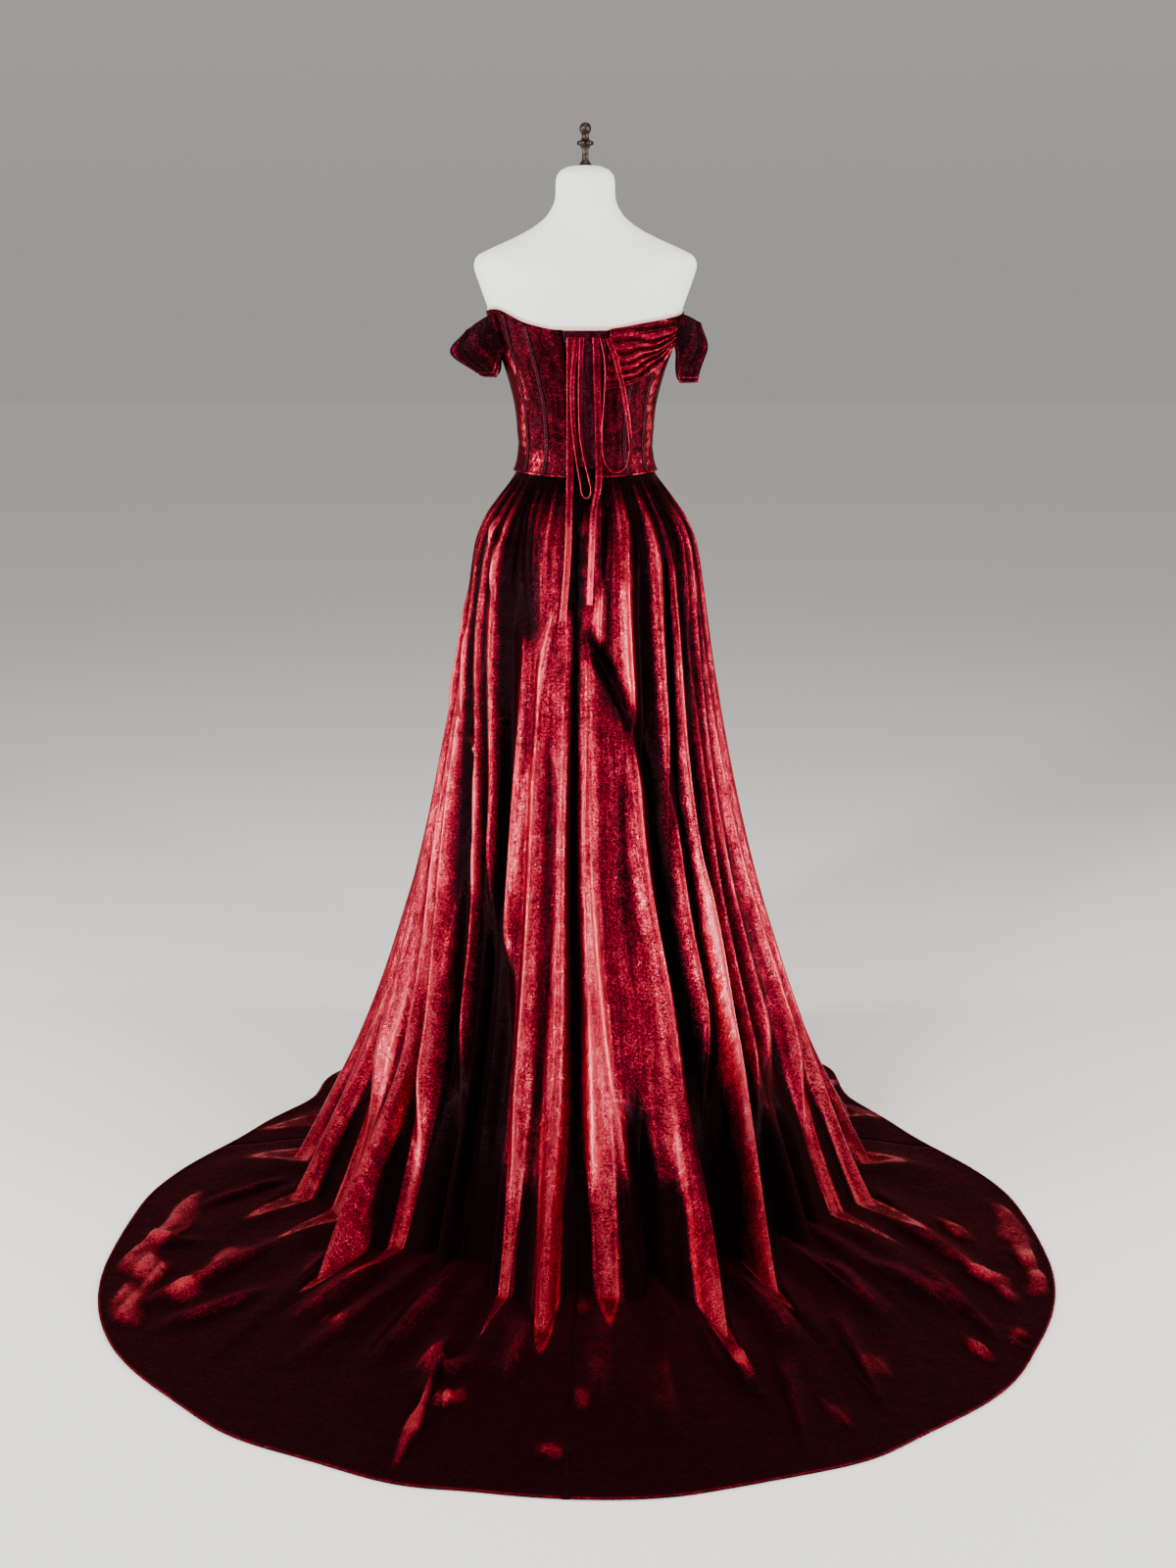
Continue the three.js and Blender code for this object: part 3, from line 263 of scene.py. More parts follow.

# Patches of painted highlight on the train, where its painted floor shade lifts: a place, its size and its
# shine.
TRAIN_GLINTS = columns("count share count_size share_size shine", [
    (17.85, 0.79, 0.38, 0.11, 1), (17.35, 0.89, 0.24, 0.06, 0.9), (18.3, 0.7, 0.26, 0.1, 0.8),
    (17.35, 0.5, 0.14, 0.09, 0.8), (17.1, 0.66, 0.16, 0.06, 0.6), (16.25, 0.2, 0.24, 0.06, 0.5),
    (14.55, 0.44, 0.2, 0.04, 0.5), (11.3, 0.58, 0.26, 0.045, 1), (11.75, 0.77, 0.13, 0.13, 0.95),
    (9.6, 0.8, 0.14, 0.03, 0.8), (9.4, 0.1, 0.12, 0.05, 0.8), (9.4, 0.56, 0.07, 0.05, 0.6),
    (6.15, 0.8, 0.26, 0.05, 0.5), (4.7, 0.7, 0.2, 0.06, 0.5), (3.15, 0.84, 0.2, 0.07, 0.9),
    (1.5, 0.75, 0.14, 0.15, 0.8), (1.0, 0.89, 0.3, 0.07, 0.95), (0.5, 0.86, 0.28, 0.08, 1),
    (0.9, 0.5, 0.14, 0.1, 0.7), (2.2, 0.92, 0.24, 0.03, 0.7), (21.5, 0.6, 0.3, 0.1, 0.6),
    (25.4, 0.5, 0.3, 0.12, 0.6),
])

# The height of the bodice's upper edge round the body.
NECKLINE = columns("angle height", [
    (-180, 1378), (-150, 1402), (-118, 1398), (-90, 1390), (-58, 1382), (-24, 1370), (-15, 1365),
    (15, 1365), (36, 1374), (64, 1397), (90, 1392), (118, 1398), (150, 1402), (180, 1378),
])

# The seams between the bodice's panels: their angle at the lower edge, the waist and the top.
BODICE_SEAMS = {
    "back_edge": (8, 9, 14),
    "side_back": (36, 35, 39),
    "side": (58, 58, 56),
    "side_front": (101, 102, 100),
    "front": (150, 150, 138),
}

# The bodice's panels on each side of the body: their two seams and their cut.
BODICE_STRIPS = {
    "bodice_back": ("back_edge", "side_back", {"flat": (0.07, 0.28), "area": 0.0135}),
    "bodice_side_back": ("side_back", "side", {"flat": (0.06, 0.29), "area": 0.0107}),
    "bodice_side": ("side", "side_front", {"flat": (0.11, 0.3), "area": 0.021}),
    "bodice_side_front": ("side_front", "front", {"flat": (0.13, 0.31), "area": 0.0245}),
}
CHANNEL_SEAMS = {"channel_back": "side_back", "channel_side_back": "side"}

# Drag lines in the bodice: from an angle and height to another, with a width and a depth. They take a
# degree round the body as DEGREE millimetres.
DEGREE = 2
BODICE_CREASES = columns("from_angle from_height to_angle to_height width depth", [
    (16, 1180, 33, 1190, 5, 0.9), (14, 1205, 34, 1221, 6, -0.8), (40, 1168, 56, 1160, 4, 0.8),
    (41, 1196, 55, 1184, 5, -0.8), (38, 1240, 54, 1262, 5, 0.7), (62, 1166, 96, 1176, 5, 0.9),
    (64, 1198, 92, 1192, 6, -0.8), (66, 1300, 88, 1330, 6, 0.8), (20, 1290, 33, 1330, 6, 0.6),
    (-15, 1170, -32, 1182, 5, 0.9), (-17, 1200, -33, 1210, 6, -0.8), (-40, 1160, -56, 1168, 4, 0.8),
    (-41, 1190, -55, 1200, 5, -0.7), (-62, 1172, -95, 1164, 5, 0.9), (-64, 1204, -92, 1196, 6, -0.8),
    (-66, 1240, -84, 1268, 6, 0.7), (108, 1168, 142, 1176, 5, 0.8), (-108, 1176, -142, 1168, 5, 0.8),
    (110, 1205, 138, 1196, 6, -0.7), (-110, 1198, -138, 1208, 6, -0.7), (158, 1172, 202, 1172, 5, 0.8),
])

# The swag's lower and upper edge, from the centre back at share 0 to the side seam at 1.
SWAG_EDGES = columns("share angle low high", [
    (0, -15, 1266, 1367), (0.35, -36, 1276, 1374), (0.7, -54, 1294, 1380), (1, -67, 1322, 1377),
])
SWAG_GATHERS = 6

# Each sleeve: the heights of its top and hem, how much its top drops and its hem's ends rise, how far it
# stands off the body at its top, middle and hem, the angle of its ends and how far they sink in.
SLEEVES = {
    "left": {
        "side": 1, "top": 1390, "hem": 1284, "drop": 30, "stand": (44, 80, 40), "end": 64, "sink": 0.1,
        "rise": 44,
    },
    "right": {
        "side": -1, "top": 1389, "hem": 1274, "drop": 16, "stand": (34, 57, 58), "end": 73, "sink": 0.85,
        "rise": 62,
    },
}
SLEEVE_GATHERS = 5
SLEEVE_FLARE = 0.12

# Each ribbon's route from the placket, in metres, and how far its flat side has turned about it.
RIBBON_THICKNESS = 0.0016
# Half of a ribbon's section, as shares of its half width and half thickness, and the heights between
# which it takes a painted highlight over the skirt.
RIBBON_SECTION = (
    (1, 0), (0.96, 0.7), (0.82, 1), (0.5, 0.72), (0, 0.55), (-0.5, 0.72), (-0.82, 1), (-0.96, 0.7),
)
RIBBON_LIT = (1.0, 1.1)
RIBBONS = {
    "ribbon_tail_left": {"width": 0.011, "far_end": "bare", "length": 0.481, "route": [
        (0.0254, 0.1055, 1.353, 0), (0.0255, 0.1078, 1.325, 0), (0.0255, 0.108, 1.232, 4),
        (0.0258, 0.108, 1.135, 0), (0.0262, 0.109, 1.105, 0), (0.0268, 0.116, 1.086, 0),
        (0.0273, 0.1355, 1.06, 0), (0.028, 0.157, 1.022, 0), (0.03, 0.1735, 0.98, 0),
        (0.033, 0.1865, 0.94, 0), (0.0375, 0.2015, 0.894, 0),
    ]},
    "ribbon_tail_right": {"width": 0.011, "far_end": "bare", "length": 0.454, "route": [
        (-0.0174, 0.1059, 1.353, 0), (-0.0182, 0.1078, 1.325, 0), (-0.0207, 0.108, 1.232, -4),
        (-0.0223, 0.108, 1.135, 0), (-0.0212, 0.11, 1.105, 8), (-0.0165, 0.1215, 1.084, 20),
        (-0.0132, 0.1405, 1.06, 25), (-0.011, 0.1633, 1.022, 28), (-0.0094, 0.181, 0.98, 28),
        (-0.0082, 0.1908, 0.951, 28), (-0.0069, 0.2006, 0.922, 28),
    ]},
    "ribbon_loop_left": {"width": 0.008, "far_end": "object", "length": 0.538, "route": [
        (0.0055, 0.1068, 1.353, 10), (0.0075, 0.1105, 1.312, 25), (0.0085, 0.1115, 1.265, 35),
        (0.008, 0.112, 1.2, 50), (0.002, 0.1135, 1.158, 65), (-0.005, 0.116, 1.125, 80),
        (-0.009, 0.1185, 1.102, 90), (-0.004, 0.12, 1.09, 90), (0.005, 0.1195, 1.095, 90),
        (0.0085, 0.117, 1.116, 100), (0.013, 0.114, 1.15, 125), (0.018, 0.1125, 1.19, 145),
        (0.0212, 0.112, 1.232, 155), (0.0212, 0.112, 1.285, 160), (0.017, 0.1105, 1.325, 168),
        (0.0145, 0.1064, 1.353, 175),
    ]},
    "ribbon_loop_right": {"width": 0.009, "far_end": "object", "length": 0.471, "route": [
        (-0.027, 0.1095, 1.352, 45), (-0.032, 0.115, 1.326, 60), (-0.0335, 0.1185, 1.3, 75),
        (-0.032, 0.1175, 1.259, 80), (-0.0278, 0.115, 1.2, 85), (-0.0285, 0.113, 1.163, 90),
        (-0.037, 0.111, 1.14, 90), (-0.052, 0.109, 1.1315, 90), (-0.067, 0.106, 1.14, 95),
        (-0.074, 0.104, 1.164, 110), (-0.0743, 0.104, 1.19, 132), (-0.068, 0.108, 1.238, 150),
        (-0.06, 0.1135, 1.28, 155), (-0.048, 0.117, 1.325, 160), (-0.037, 0.115, 1.352, 165),
    ]},
}


# ---------------------------------------------------------------- camera

# The lens's focal length in pixels, for a frame this many pixels high.
FOCAL_LENGTH = 2497
FRAME_HEIGHT = 1600
SENSOR_HEIGHT = 24
CAMERA_PLACE = (-0.0045, 4.2, 1.5)
CAMERA_DOWN = 12.4


def add_camera():
    """The camera stands behind the dress and looks down at its back and train."""
    data = bpy.data.cameras.new("camera")
    data.sensor_fit = "VERTICAL"
    data.sensor_height = SENSOR_HEIGHT
    data.lens = SENSOR_HEIGHT * FOCAL_LENGTH / FRAME_HEIGHT
    camera = bpy.data.objects.new("camera", data)
    camera.location = CAMERA_PLACE
    camera.rotation_euler = (math.radians(90 - CAMERA_DOWN), 0, math.radians(180))
    bpy.context.scene.collection.objects.link(camera)
    bpy.context.scene.camera = camera


# ---------------------------------------------------------------- materials

def colour(code):
    """An sRGB hex colour as a linear RGBA tuple."""
    parts = [int(code[i:i + 2], 16) / 255 for i in (1, 3, 5)]
    linear = [part / 12.92 if part <= 0.04045 else ((part + 0.055) / 1.055) ** 2.4 for part in parts]
    return (*linear, 1)


def node(tree, kind, settings=None, links=None):
    """Adds a node. settings are its properties or input values, and links are what feeds its inputs."""
    made = tree.nodes.new(kind)
    for key, value in (settings or {}).items():
        if isinstance(key, str) and hasattr(made, key):
            setattr(made, key, value)
        else:
            made.inputs[key].default_value = value
    feed(tree, made, links or {})
    return made


def feed(tree, fed, links):
    """Links each source to the input that it is named for."""
    for key, source in links.items():
        tree.links.new(source, fed.inputs[key])


def per_metre(millimetres):
    """A pattern's scale from the size of what it repeats."""
    return 1000 / millimetres


def new_material(name, **sockets):
    """A material whose Principled BSDF has these input values. Returns it, its tree and the shader."""
    material = bpy.data.materials.new(name)
    material.use_nodes = True
    tree = material.node_tree
    shader = tree.nodes["Principled BSDF"]
    for key, value in sockets.items():
        shader.inputs[key.replace("_", " ")].default_value = value
    return material, tree, shader


def ramp(tree, source, stops):
    """A colour ramp over source, with stops as (place, hex colour)."""
    made = node(tree, "ShaderNodeValToRGB", links={"Fac": source})
    elements = made.color_ramp.elements
    while len(elements) < len(stops):
        elements.new(0.5)
    for element, (place, code) in zip(elements, stops):
        element.position = place
        element.color = colour(code)
    return made.outputs["Color"]


def weighted_sum(tree, start, terms):
    """start plus each source times its weight."""
    total = None
    for source, weight in terms:
        made = node(tree, "ShaderNodeMath", {"operation": "MULTIPLY_ADD", 1: weight, 2: start}, {0: source})
        if total is not None:
            feed(tree, made, {2: total})
        total = made.outputs[0]
    return total


# Each velvet's shades, from its deepest painted shade to its brightest painted highlight, and its most gloss.
VELVETS = {
    "shimmer velvet": (("#040001", "#190004", "#46020F", "#80021F", "#C00A31"), 0.9),
    "velvet ribbon": (("#100103", "#2C020A", "#5C0416", "#900426", "#BE0A34"), 0.7),
    # A copy of the shimmer velvet painted in shade, for the boning channels, the modesty panel and the
    # placket.
    "velvet in painted shade": (("#040001", "#0C0105", "#19020A", "#2E0411", "#4A0B1E"), 0.2),
}


def velvet_material(name, shades, shine):
    """Shimmer velvet: a knitted polyester pile, rolled flat one way and crushed in patches.

    The flattened pile shines like satin and keeps its own crimson there, in lengthwise streaks. Its
    bundles lie at slightly different slants and glitter one by one. Its colour also carries painted
    shade, darkest in hollows, creases and on the floor, and painted highlights on crests and edges.
    Real bundles are under 1 mm wide and are drawn coarser, so that they show.
    """
    streak_width, crush_size, bundle_width = 10.526, 26.316, 3.03
    shade_places = (0.0, 0.25, 0.48, 0.75, 1.0)
    material, tree, shader = new_material(
        name, Metallic=0.72, Specular_IOR_Level=0.1, Specular_Tint=colour("#F0A0AA"),
        Coat_IOR=1.75, Coat_Roughness=0.14, Coat_Tint=colour("#F7C3C8"),
        Sheen_Weight=0.05, Sheen_Roughness=0.4, Sheen_Tint=colour("#C8324F"),
    )
    coordinates = node(tree, "ShaderNodeTexCoord").outputs
    solid = coordinates["Object"]
    lengthwise = node(tree, "ShaderNodeMapping", {"Scale": (1, 0.1, 1)}, {"Vector": coordinates["UV"]})
    streaks = node(
        tree, "ShaderNodeTexNoise",
        {"Scale": per_metre(streak_width), "Detail": 4, "Roughness": 0.6, "Distortion": 0.3},
        {"Vector": lengthwise.outputs["Vector"]},
    ).outputs["Fac"]
    crush = node(
        tree, "ShaderNodeTexNoise",
        {"Scale": per_metre(crush_size), "Detail": 6, "Roughness": 0.7, "Distortion": 0.6}, {"Vector": solid},
    ).outputs["Fac"]
    grain = node(
        tree, "ShaderNodeTexNoise", {"Scale": per_metre(bundle_width), "Detail": 2, "Roughness": 0.8},
        {"Vector": solid},
    ).outputs["Fac"]
    hollow = node(tree, "ShaderNodeAttribute", {"attribute_name": "hollow"}).outputs["Fac"]
    on_floor = node(tree, "ShaderNodeAttribute", {"attribute_name": "on_floor"}).outputs["Fac"]
    # Where the base colour sits on its ramp: texture noise, lowered by the painted shade and painted floor
    # shade marks, and raised as a painted highlight where the painted shade mark is below 0.
    light = weighted_sum(tree, -0.85, [
        (streaks, 0.7), (crush, 0.8), (grain, 1.6), (hollow, -1.05), (on_floor, -0.65)])
    matt = weighted_sum(tree, 0.525, [(crush, -0.42), (on_floor, 0.3)])
    glints = weighted_sum(tree, -2.55, [
        (streaks, 1.4), (crush, 1.4), (grain, 2.4), (hollow, -2.0), (on_floor, -1.1)])
    gloss = node(tree, "ShaderNodeMapRange", {"To Max": shine}, {"Value": glints})
    soft = node(tree, "ShaderNodeBump", {"Strength": 0.5, "Distance": 0.004}, {"Height": crush})
    fine = node(tree, "ShaderNodeBump", {"Strength": 0.5, "Distance": 0.0008},
                {"Height": grain, "Normal": soft.outputs["Normal"]})
    bundles = node(tree, "ShaderNodeTexVoronoi", {"Scale": per_metre(bundle_width)}, {"Vector": solid})
    slant = node(
        tree, "ShaderNodeVectorMath", {"operation": "SUBTRACT", 1: (0.5, 0.5, 0.5)},
        {0: bundles.outputs["Color"]})
    tilted = node(tree, "ShaderNodeVectorMath", {"operation": "MULTIPLY_ADD", 1: (0.18, 0.18, 0.18)},
                  {0: slant.outputs[0], 2: fine.outputs["Normal"]})
    normal = node(tree, "ShaderNodeVectorMath", {"operation": "NORMALIZE"}, {0: tilted.outputs[0]})
    feed(tree, shader, {
        "Base Color": ramp(tree, light, list(zip(shade_places, shades))), "Roughness": matt,
        "Coat Weight": gloss.outputs["Result"], "Normal": normal.outputs[0],
        "Coat Normal": soft.outputs["Normal"],
    })
    return material


def satin_material():
    """Satin lining: smooth warp threads floated over the weft, so it has a soft pearly shine.

    Real threads are about 0.1 mm wide and are drawn coarser, so that they show.
    """
    material, tree, shader = new_material(
        "satin lining", Roughness=0.38, Base_Color=colour("#DFB5A9"), Sheen_Weight=0.2)
    place = node(tree, "ShaderNodeTexCoord").outputs["UV"]
    stretched = node(tree, "ShaderNodeMapping", {"Scale": (0.2, 1, 1)}, {"Vector": place}).outputs["Vector"]
    threads = node(
        tree, "ShaderNodeTexNoise", {"Scale": per_metre(0.667), "Detail": 2}, {"Vector": stretched},
    ).outputs["Fac"]
    bump = node(tree, "ShaderNodeBump", {"Strength": 0.2, "Distance": 0.0002}, {"Height": threads})
    feed(tree, shader, {"Normal": bump.outputs["Normal"]})
    return material


def jersey_material():
    """Cotton jersey stretched over the padded form: matt, with fine vertical wales of loops."""
    material, tree, shader = new_material("form jersey", Roughness=0.85, Sheen_Weight=0.15)
    place = node(tree, "ShaderNodeTexCoord").outputs["UV"]
    wale_width, handled_size = 1.496, 142.86
    # A wave texture has 20 radians at scale 1, and 1 in U is the girth, which is under 1 m.
    bands = per_metre(wale_width) * 2 * math.pi / 20
    wales = node(
        tree, "ShaderNodeTexWave",
        {"Scale": bands, "Distortion": 0.6, "Detail": 1, "bands_direction": "X"}, {"Vector": place},
    ).outputs["Fac"]
    handled = node(
        tree, "ShaderNodeTexNoise", {"Scale": per_metre(handled_size), "Detail": 4}, {"Vector": place},
    ).outputs["Fac"]
    white = ramp(tree, handled, [(0.3, "#E6EBDF"), (0.7, "#F3F6EE")])
    bump = node(tree, "ShaderNodeBump", {"Strength": 0.15, "Distance": 0.0003}, {"Height": wales})
    feed(tree, shader, {"Base Color": white, "Normal": bump.outputs["Normal"]})
    return material


def metal_material():
    """Blackened steel: turned, blacked and rubbed, paler and duller in patches and darker and glossier
    between them.
    """
    material, tree, shader = new_material("blackened metal", Metallic=1.0, Roughness=0.34)
    place = node(tree, "ShaderNodeTexCoord").outputs["Object"]
    rubbed = node(
        tree, "ShaderNodeTexNoise", {"Scale": per_metre(11.11), "Detail": 4}, {"Vector": place},
    ).outputs["Fac"]
    blackened = ramp(tree, rubbed, [(0.35, "#1C1815"), (0.68, "#4B4038")])
    dull = node(tree, "ShaderNodeMapRange", {"To Min": 0.24, "To Max": 0.46}, {"Value": rubbed})
    feed(tree, shader, {"Base Color": blackened, "Roughness": dull.outputs["Result"]})
    return material


def thread_material():
    """Polyester sewing thread: a twisted, slightly glossy dark red yarn."""
    material, tree, shader = new_material("thread", Roughness=0.5, Sheen_Weight=0.2)
    place = node(tree, "ShaderNodeTexCoord").outputs["Object"]
    twist = node(tree, "ShaderNodeTexNoise", {"Scale": per_metre(0.833)}, {"Vector": place}).outputs["Fac"]
    feed(tree, shader, {"Base Color": ramp(tree, twist, [(0.3, "#2E0410"), (0.7, "#5A0B1E")])})
    return material


# ---------------------------------------------------------------- curves and sections

def smoothstep(value, low, high):
    """0 up to low and 1 from high, with a smooth rise between them."""
    t = np.clip((value - low) / (high - low), 0, 1)
    return t * t * (3 - 2 * t)


def above(height, level):
    """0 below a named level and 1 above it."""
    return smoothstep(height, *LEVELS[level])


def bell(value, middle, width):
    """1 at middle, fading to 0 on both sides."""
    return np.exp(-(((value - middle) / width) ** 2))


def smooth_curve(places, values, at):
    """A smooth curve through a table's points that never overshoots them."""
    places = np.asarray(places, float)
    values = np.asarray(values, float)
    spans = np.diff(places)
    slopes = np.diff(values, axis=0) / spans.reshape(-1, *[1] * (values.ndim - 1))
    before, after = slopes[:-1], slopes[1:]
    same_way = before * after > 0
    middle = np.where(same_way, 2 * before * after / np.where(same_way, before + after, 1), 0)
    tangents = np.concatenate([slopes[:1], middle, slopes[-1:]])
    result = None
    for i, span in enumerate(spans):
        t = np.clip((at - places[i]) / span, 0, 1)
        ease = t * t * (3 - 2 * t)
        piece = (
            values[i] * (1 - ease) + values[i + 1] * ease
            + span * t * (1 - t) * ((1 - t) * tangents[i] - t * tangents[i + 1])
        )
        result = piece if result is None else np.where(at > places[i], piece, result)
    return result


def section_at(table, height, names):
    """The named columns of a table of sections, at a height."""
    return [smooth_curve(table["height"], table[name], height) for name in names]


def on_oval(half, centre, back, front, angle, offset):
    """A point of an oval section, moved out square to the oval by offset."""
    turn = np.radians(angle)
    depth = np.where(np.cos(turn) > 0, back - centre, front + centre)
    out_x, out_y = np.sin(turn) / half, np.cos(turn) / depth
    length = np.hypot(out_x, out_y)
    x = half * np.sin(turn) + offset * out_x / length
    y = centre + depth * np.cos(turn) + offset * out_y / length
    return x, y


def points(x, y, z):
    """Points from coordinates, as large a grid as these span together."""
    return np.stack(np.broadcast_arrays(x, y, z), axis=-1)


def on_form(angle, height, offset):
    """A point at an angle and height, offset outside the form."""
    half, back, front = section_at(FORM, height, ("half", "back", "front"))
    x, y = on_oval(half, 0, back, front, angle, offset)
    return points(x, y, height)


def unit(vectors):
    """Vectors of length 1."""
    return vectors / np.maximum(np.linalg.norm(vectors, axis=-1, keepdims=True), 1e-12)


def crease_field(across, up):
    """How deep the bodice's creases cut it at (across, up), both in millimetres."""
    total = np.zeros(np.broadcast(across, up).shape)
    for start_angle, start_u, end_angle, end_u, width, depth in zip(*BODICE_CREASES.values()):
        start_a, end_a = start_angle * DEGREE, end_angle * DEGREE
        along = np.array([end_a - start_a, end_u - start_u])
        length = math.hypot(*along)
        away_a, away_u = across - start_a, up - start_u
        share = (away_a * along[0] + away_u * along[1]) / length ** 2
        aside = (away_a * along[1] - away_u * along[0]) / length
        ends = smoothstep(share, -0.1, 0.3) * (1 - smoothstep(share, 0.7, 1.1))
        total += depth * ends * bell(aside, 0, width)
    return total


# ---------------------------------------------------------------- meshes

def grid_normals(grid):
    """Normals of a grid of points, on the side that sees columns run right and rows run up."""
    across = np.gradient(grid, axis=1)
    up = np.gradient(grid, axis=0)
    return unit(np.cross(across, up))


def add_object(name, vertices, faces, material, uvs=None, marks=None):
    """A smooth mesh in metres. marks are named values for each vertex, which its material reads."""
    mesh = bpy.data.meshes.new(name)
    mesh.from_pydata(vertices.tolist(), [], faces)
    mesh.materials.append(material)
    mesh.polygons.foreach_set("use_smooth", [True] * len(mesh.polygons))
    if uvs is not None:
        corners = np.empty(len(mesh.loops), dtype=np.int64)
        mesh.loops.foreach_get("vertex_index", corners)
        mesh.uv_layers.new(name="UVMap").data.foreach_set("uv", uvs[corners].ravel())
    for mark, values in (marks or {}).items():
        mesh.attributes.new(mark, "FLOAT", "POINT").data.foreach_set("value", values.ravel())
    made = bpy.data.objects.new(name, mesh)
    bpy.context.scene.collection.objects.link(made)
    return made


def cloth(name, grid, thickness, material, floor=None, **marks):
    """A thin shell under a grid of points in millimetres, seen from outside: rows up, columns right.

    The marks are for the velvet's painted light: one is painted shade, darkest at 1 and a painted
    highlight below 0, and the other is painted floor shade, 1 where the train is painted dark.
    """
    inner = grid - grid_normals(grid) * thickness
    if floor is not None:
        inner[..., 2] = np.maximum(inner[..., 2], floor)
    rows, width = grid.shape[:2]
    steps_across = np.linalg.norm(np.diff(grid, axis=1), axis=2).mean(axis=0)
    steps_up = np.linalg.norm(np.diff(grid, axis=0), axis=2).mean(axis=1)
    u = np.concatenate([[0], np.cumsum(steps_across)])[None, :]
    v = np.concatenate([[0], np.cumsum(steps_up)])[:, None]
    uv = np.stack(np.broadcast_arrays(u, v), axis=-1).reshape(-1, 2) * 0.001
    index = np.arange(rows * width).reshape(rows, width)
    back = index + rows * width
    faces = quads(index) + quads(back[:, ::-1])
    faces += quads(np.stack([back[0], index[0]])) + quads(np.stack([index[-1], back[-1]]))
    faces += quads(np.stack([back[:, 0], index[:, 0]], axis=1))
    faces += quads(np.stack([index[:, -1], back[:, -1]], axis=1))
    vertices = np.concatenate([grid.reshape(-1, 3), inner.reshape(-1, 3)]) * 0.001
    both_sides = {}
    for mark, values in marks.items():
        both_sides[mark] = np.tile(np.broadcast_to(values, (rows, width)).ravel(), 2)
    return add_object(name, vertices, faces, material, np.concatenate([uv, uv]), both_sides)


def quads(index):
    """Faces between the rows of an index grid, wound for rows that run up and columns that run right."""
    a, b = index[:-1, :-1], index[:-1, 1:]
    c, d = index[1:, 1:], index[1:, :-1]
    return np.stack([a, b, c, d], axis=-1).reshape(-1, 4).tolist()


def lathe(name, profile, sides, material):
    """A turned piece from (radius, height) points in millimetres, from the bottom up."""
    turn = np.linspace(0, 2 * math.pi, sides, endpoint=False)
    radius, height = np.array(profile, float).T
    radius, height = radius[:, None], height[:, None]
    rings = points(radius * np.cos(turn), radius * np.sin(turn), height)
    index = np.arange(len(profile) * sides).reshape(len(profile), sides)
    faces = quads(np.concatenate([index, index[:, :1]], axis=1))
    return add_object(name, rings.reshape(-1, 3) * 0.001, faces, material)


def stands_for(piece, node_name):
    """The piece belongs to the one body and takes a CAD node's place."""
    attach(piece, "root")
    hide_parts(node_name)


# ---------------------------------------------------------------- ribbons

def ribbon_curve(route, steps):
    """A Catmull-Rom curve through the route, as points and directions."""
    route = np.array(route)
    before = np.concatenate([2 * route[:1] - route[1:2], route[:-1]])
    after = np.concatenate([route[1:], 2 * route[-1:] - route[-2:-1]])
    slopes = (after - before) / 2
    place = np.linspace(0, len(route) - 1, steps + 1)
    i = np.minimum(place.astype(int), len(route) - 2)
    t = (place - i)[:, None]
    ease = t * t * (3 - 2 * t)
    curve = (
        route[i] * (1 - ease) + route[i + 1] * ease
        + t * (1 - t) * ((1 - t) * slopes[i] - t * slopes[i + 1])
    )
    return curve, unit(np.gradient(curve[:, :3], axis=0))


def add_ribbon(name, ribbon, material):
    """A stitched tube of velvet pressed flat: thin at its middle, with two soft rolled edges."""
    steps = 150
    curve, along = ribbon_curve(ribbon["route"], steps)
    centre, turn = curve[:, :3], np.radians(curve[:, 3:4])
    backwards = np.array([0.0, 1.0, 0.0])
    face = unit(backwards - along * (along @ backwards)[:, None])
    in_plane = np.cross(along, face)
    flat = in_plane * np.cos(turn) + face * np.sin(turn)
    square = np.cross(along, flat)
    half, thin = ribbon["width"] / 2, RIBBON_THICKNESS / 2
    profile = [*RIBBON_SECTION, *((-a, -b) for a, b in RIBBON_SECTION)]
    rings = np.stack([centre + flat * half * a + square * thin * b for a, b in profile], axis=1)
    sides = len(profile)
    index = np.arange((steps + 1) * sides).reshape(steps + 1, sides)
    faces = quads(np.concatenate([index, index[:, :1]], axis=1)[:, ::-1])
    faces += [index[0].tolist(), index[-1][::-1].tolist()]
    around = np.cumsum([0] + [math.dist(profile[i], profile[i - 1]) * half for i in range(1, sides)])
    run = np.concatenate([[0], np.cumsum(np.linalg.norm(np.diff(centre, axis=0), axis=1))])
    uvs = np.stack(np.broadcast_arrays(around[None, :], run[:, None]), axis=-1).reshape(-1, 2)
    # Painted shade down the ribbon's middle and painted highlight on its edges, and more painted highlight
    # where it hangs over the skirt.
    across = np.array([0.6 * (1 - abs(a)) ** 0.5 - 0.2 for a, b in profile])
    painted_highlight_over_skirt = 1 - smoothstep(centre[:, 2], *RIBBON_LIT)
    marks = {"hollow": across[None, :] - 0.5 * painted_highlight_over_skirt[:, None]}
    piece = add_object(name, rings.reshape(-1, 3), faces, material, uvs, marks)
    stands_for(piece, name)


# ---------------------------------------------------------------- dress form

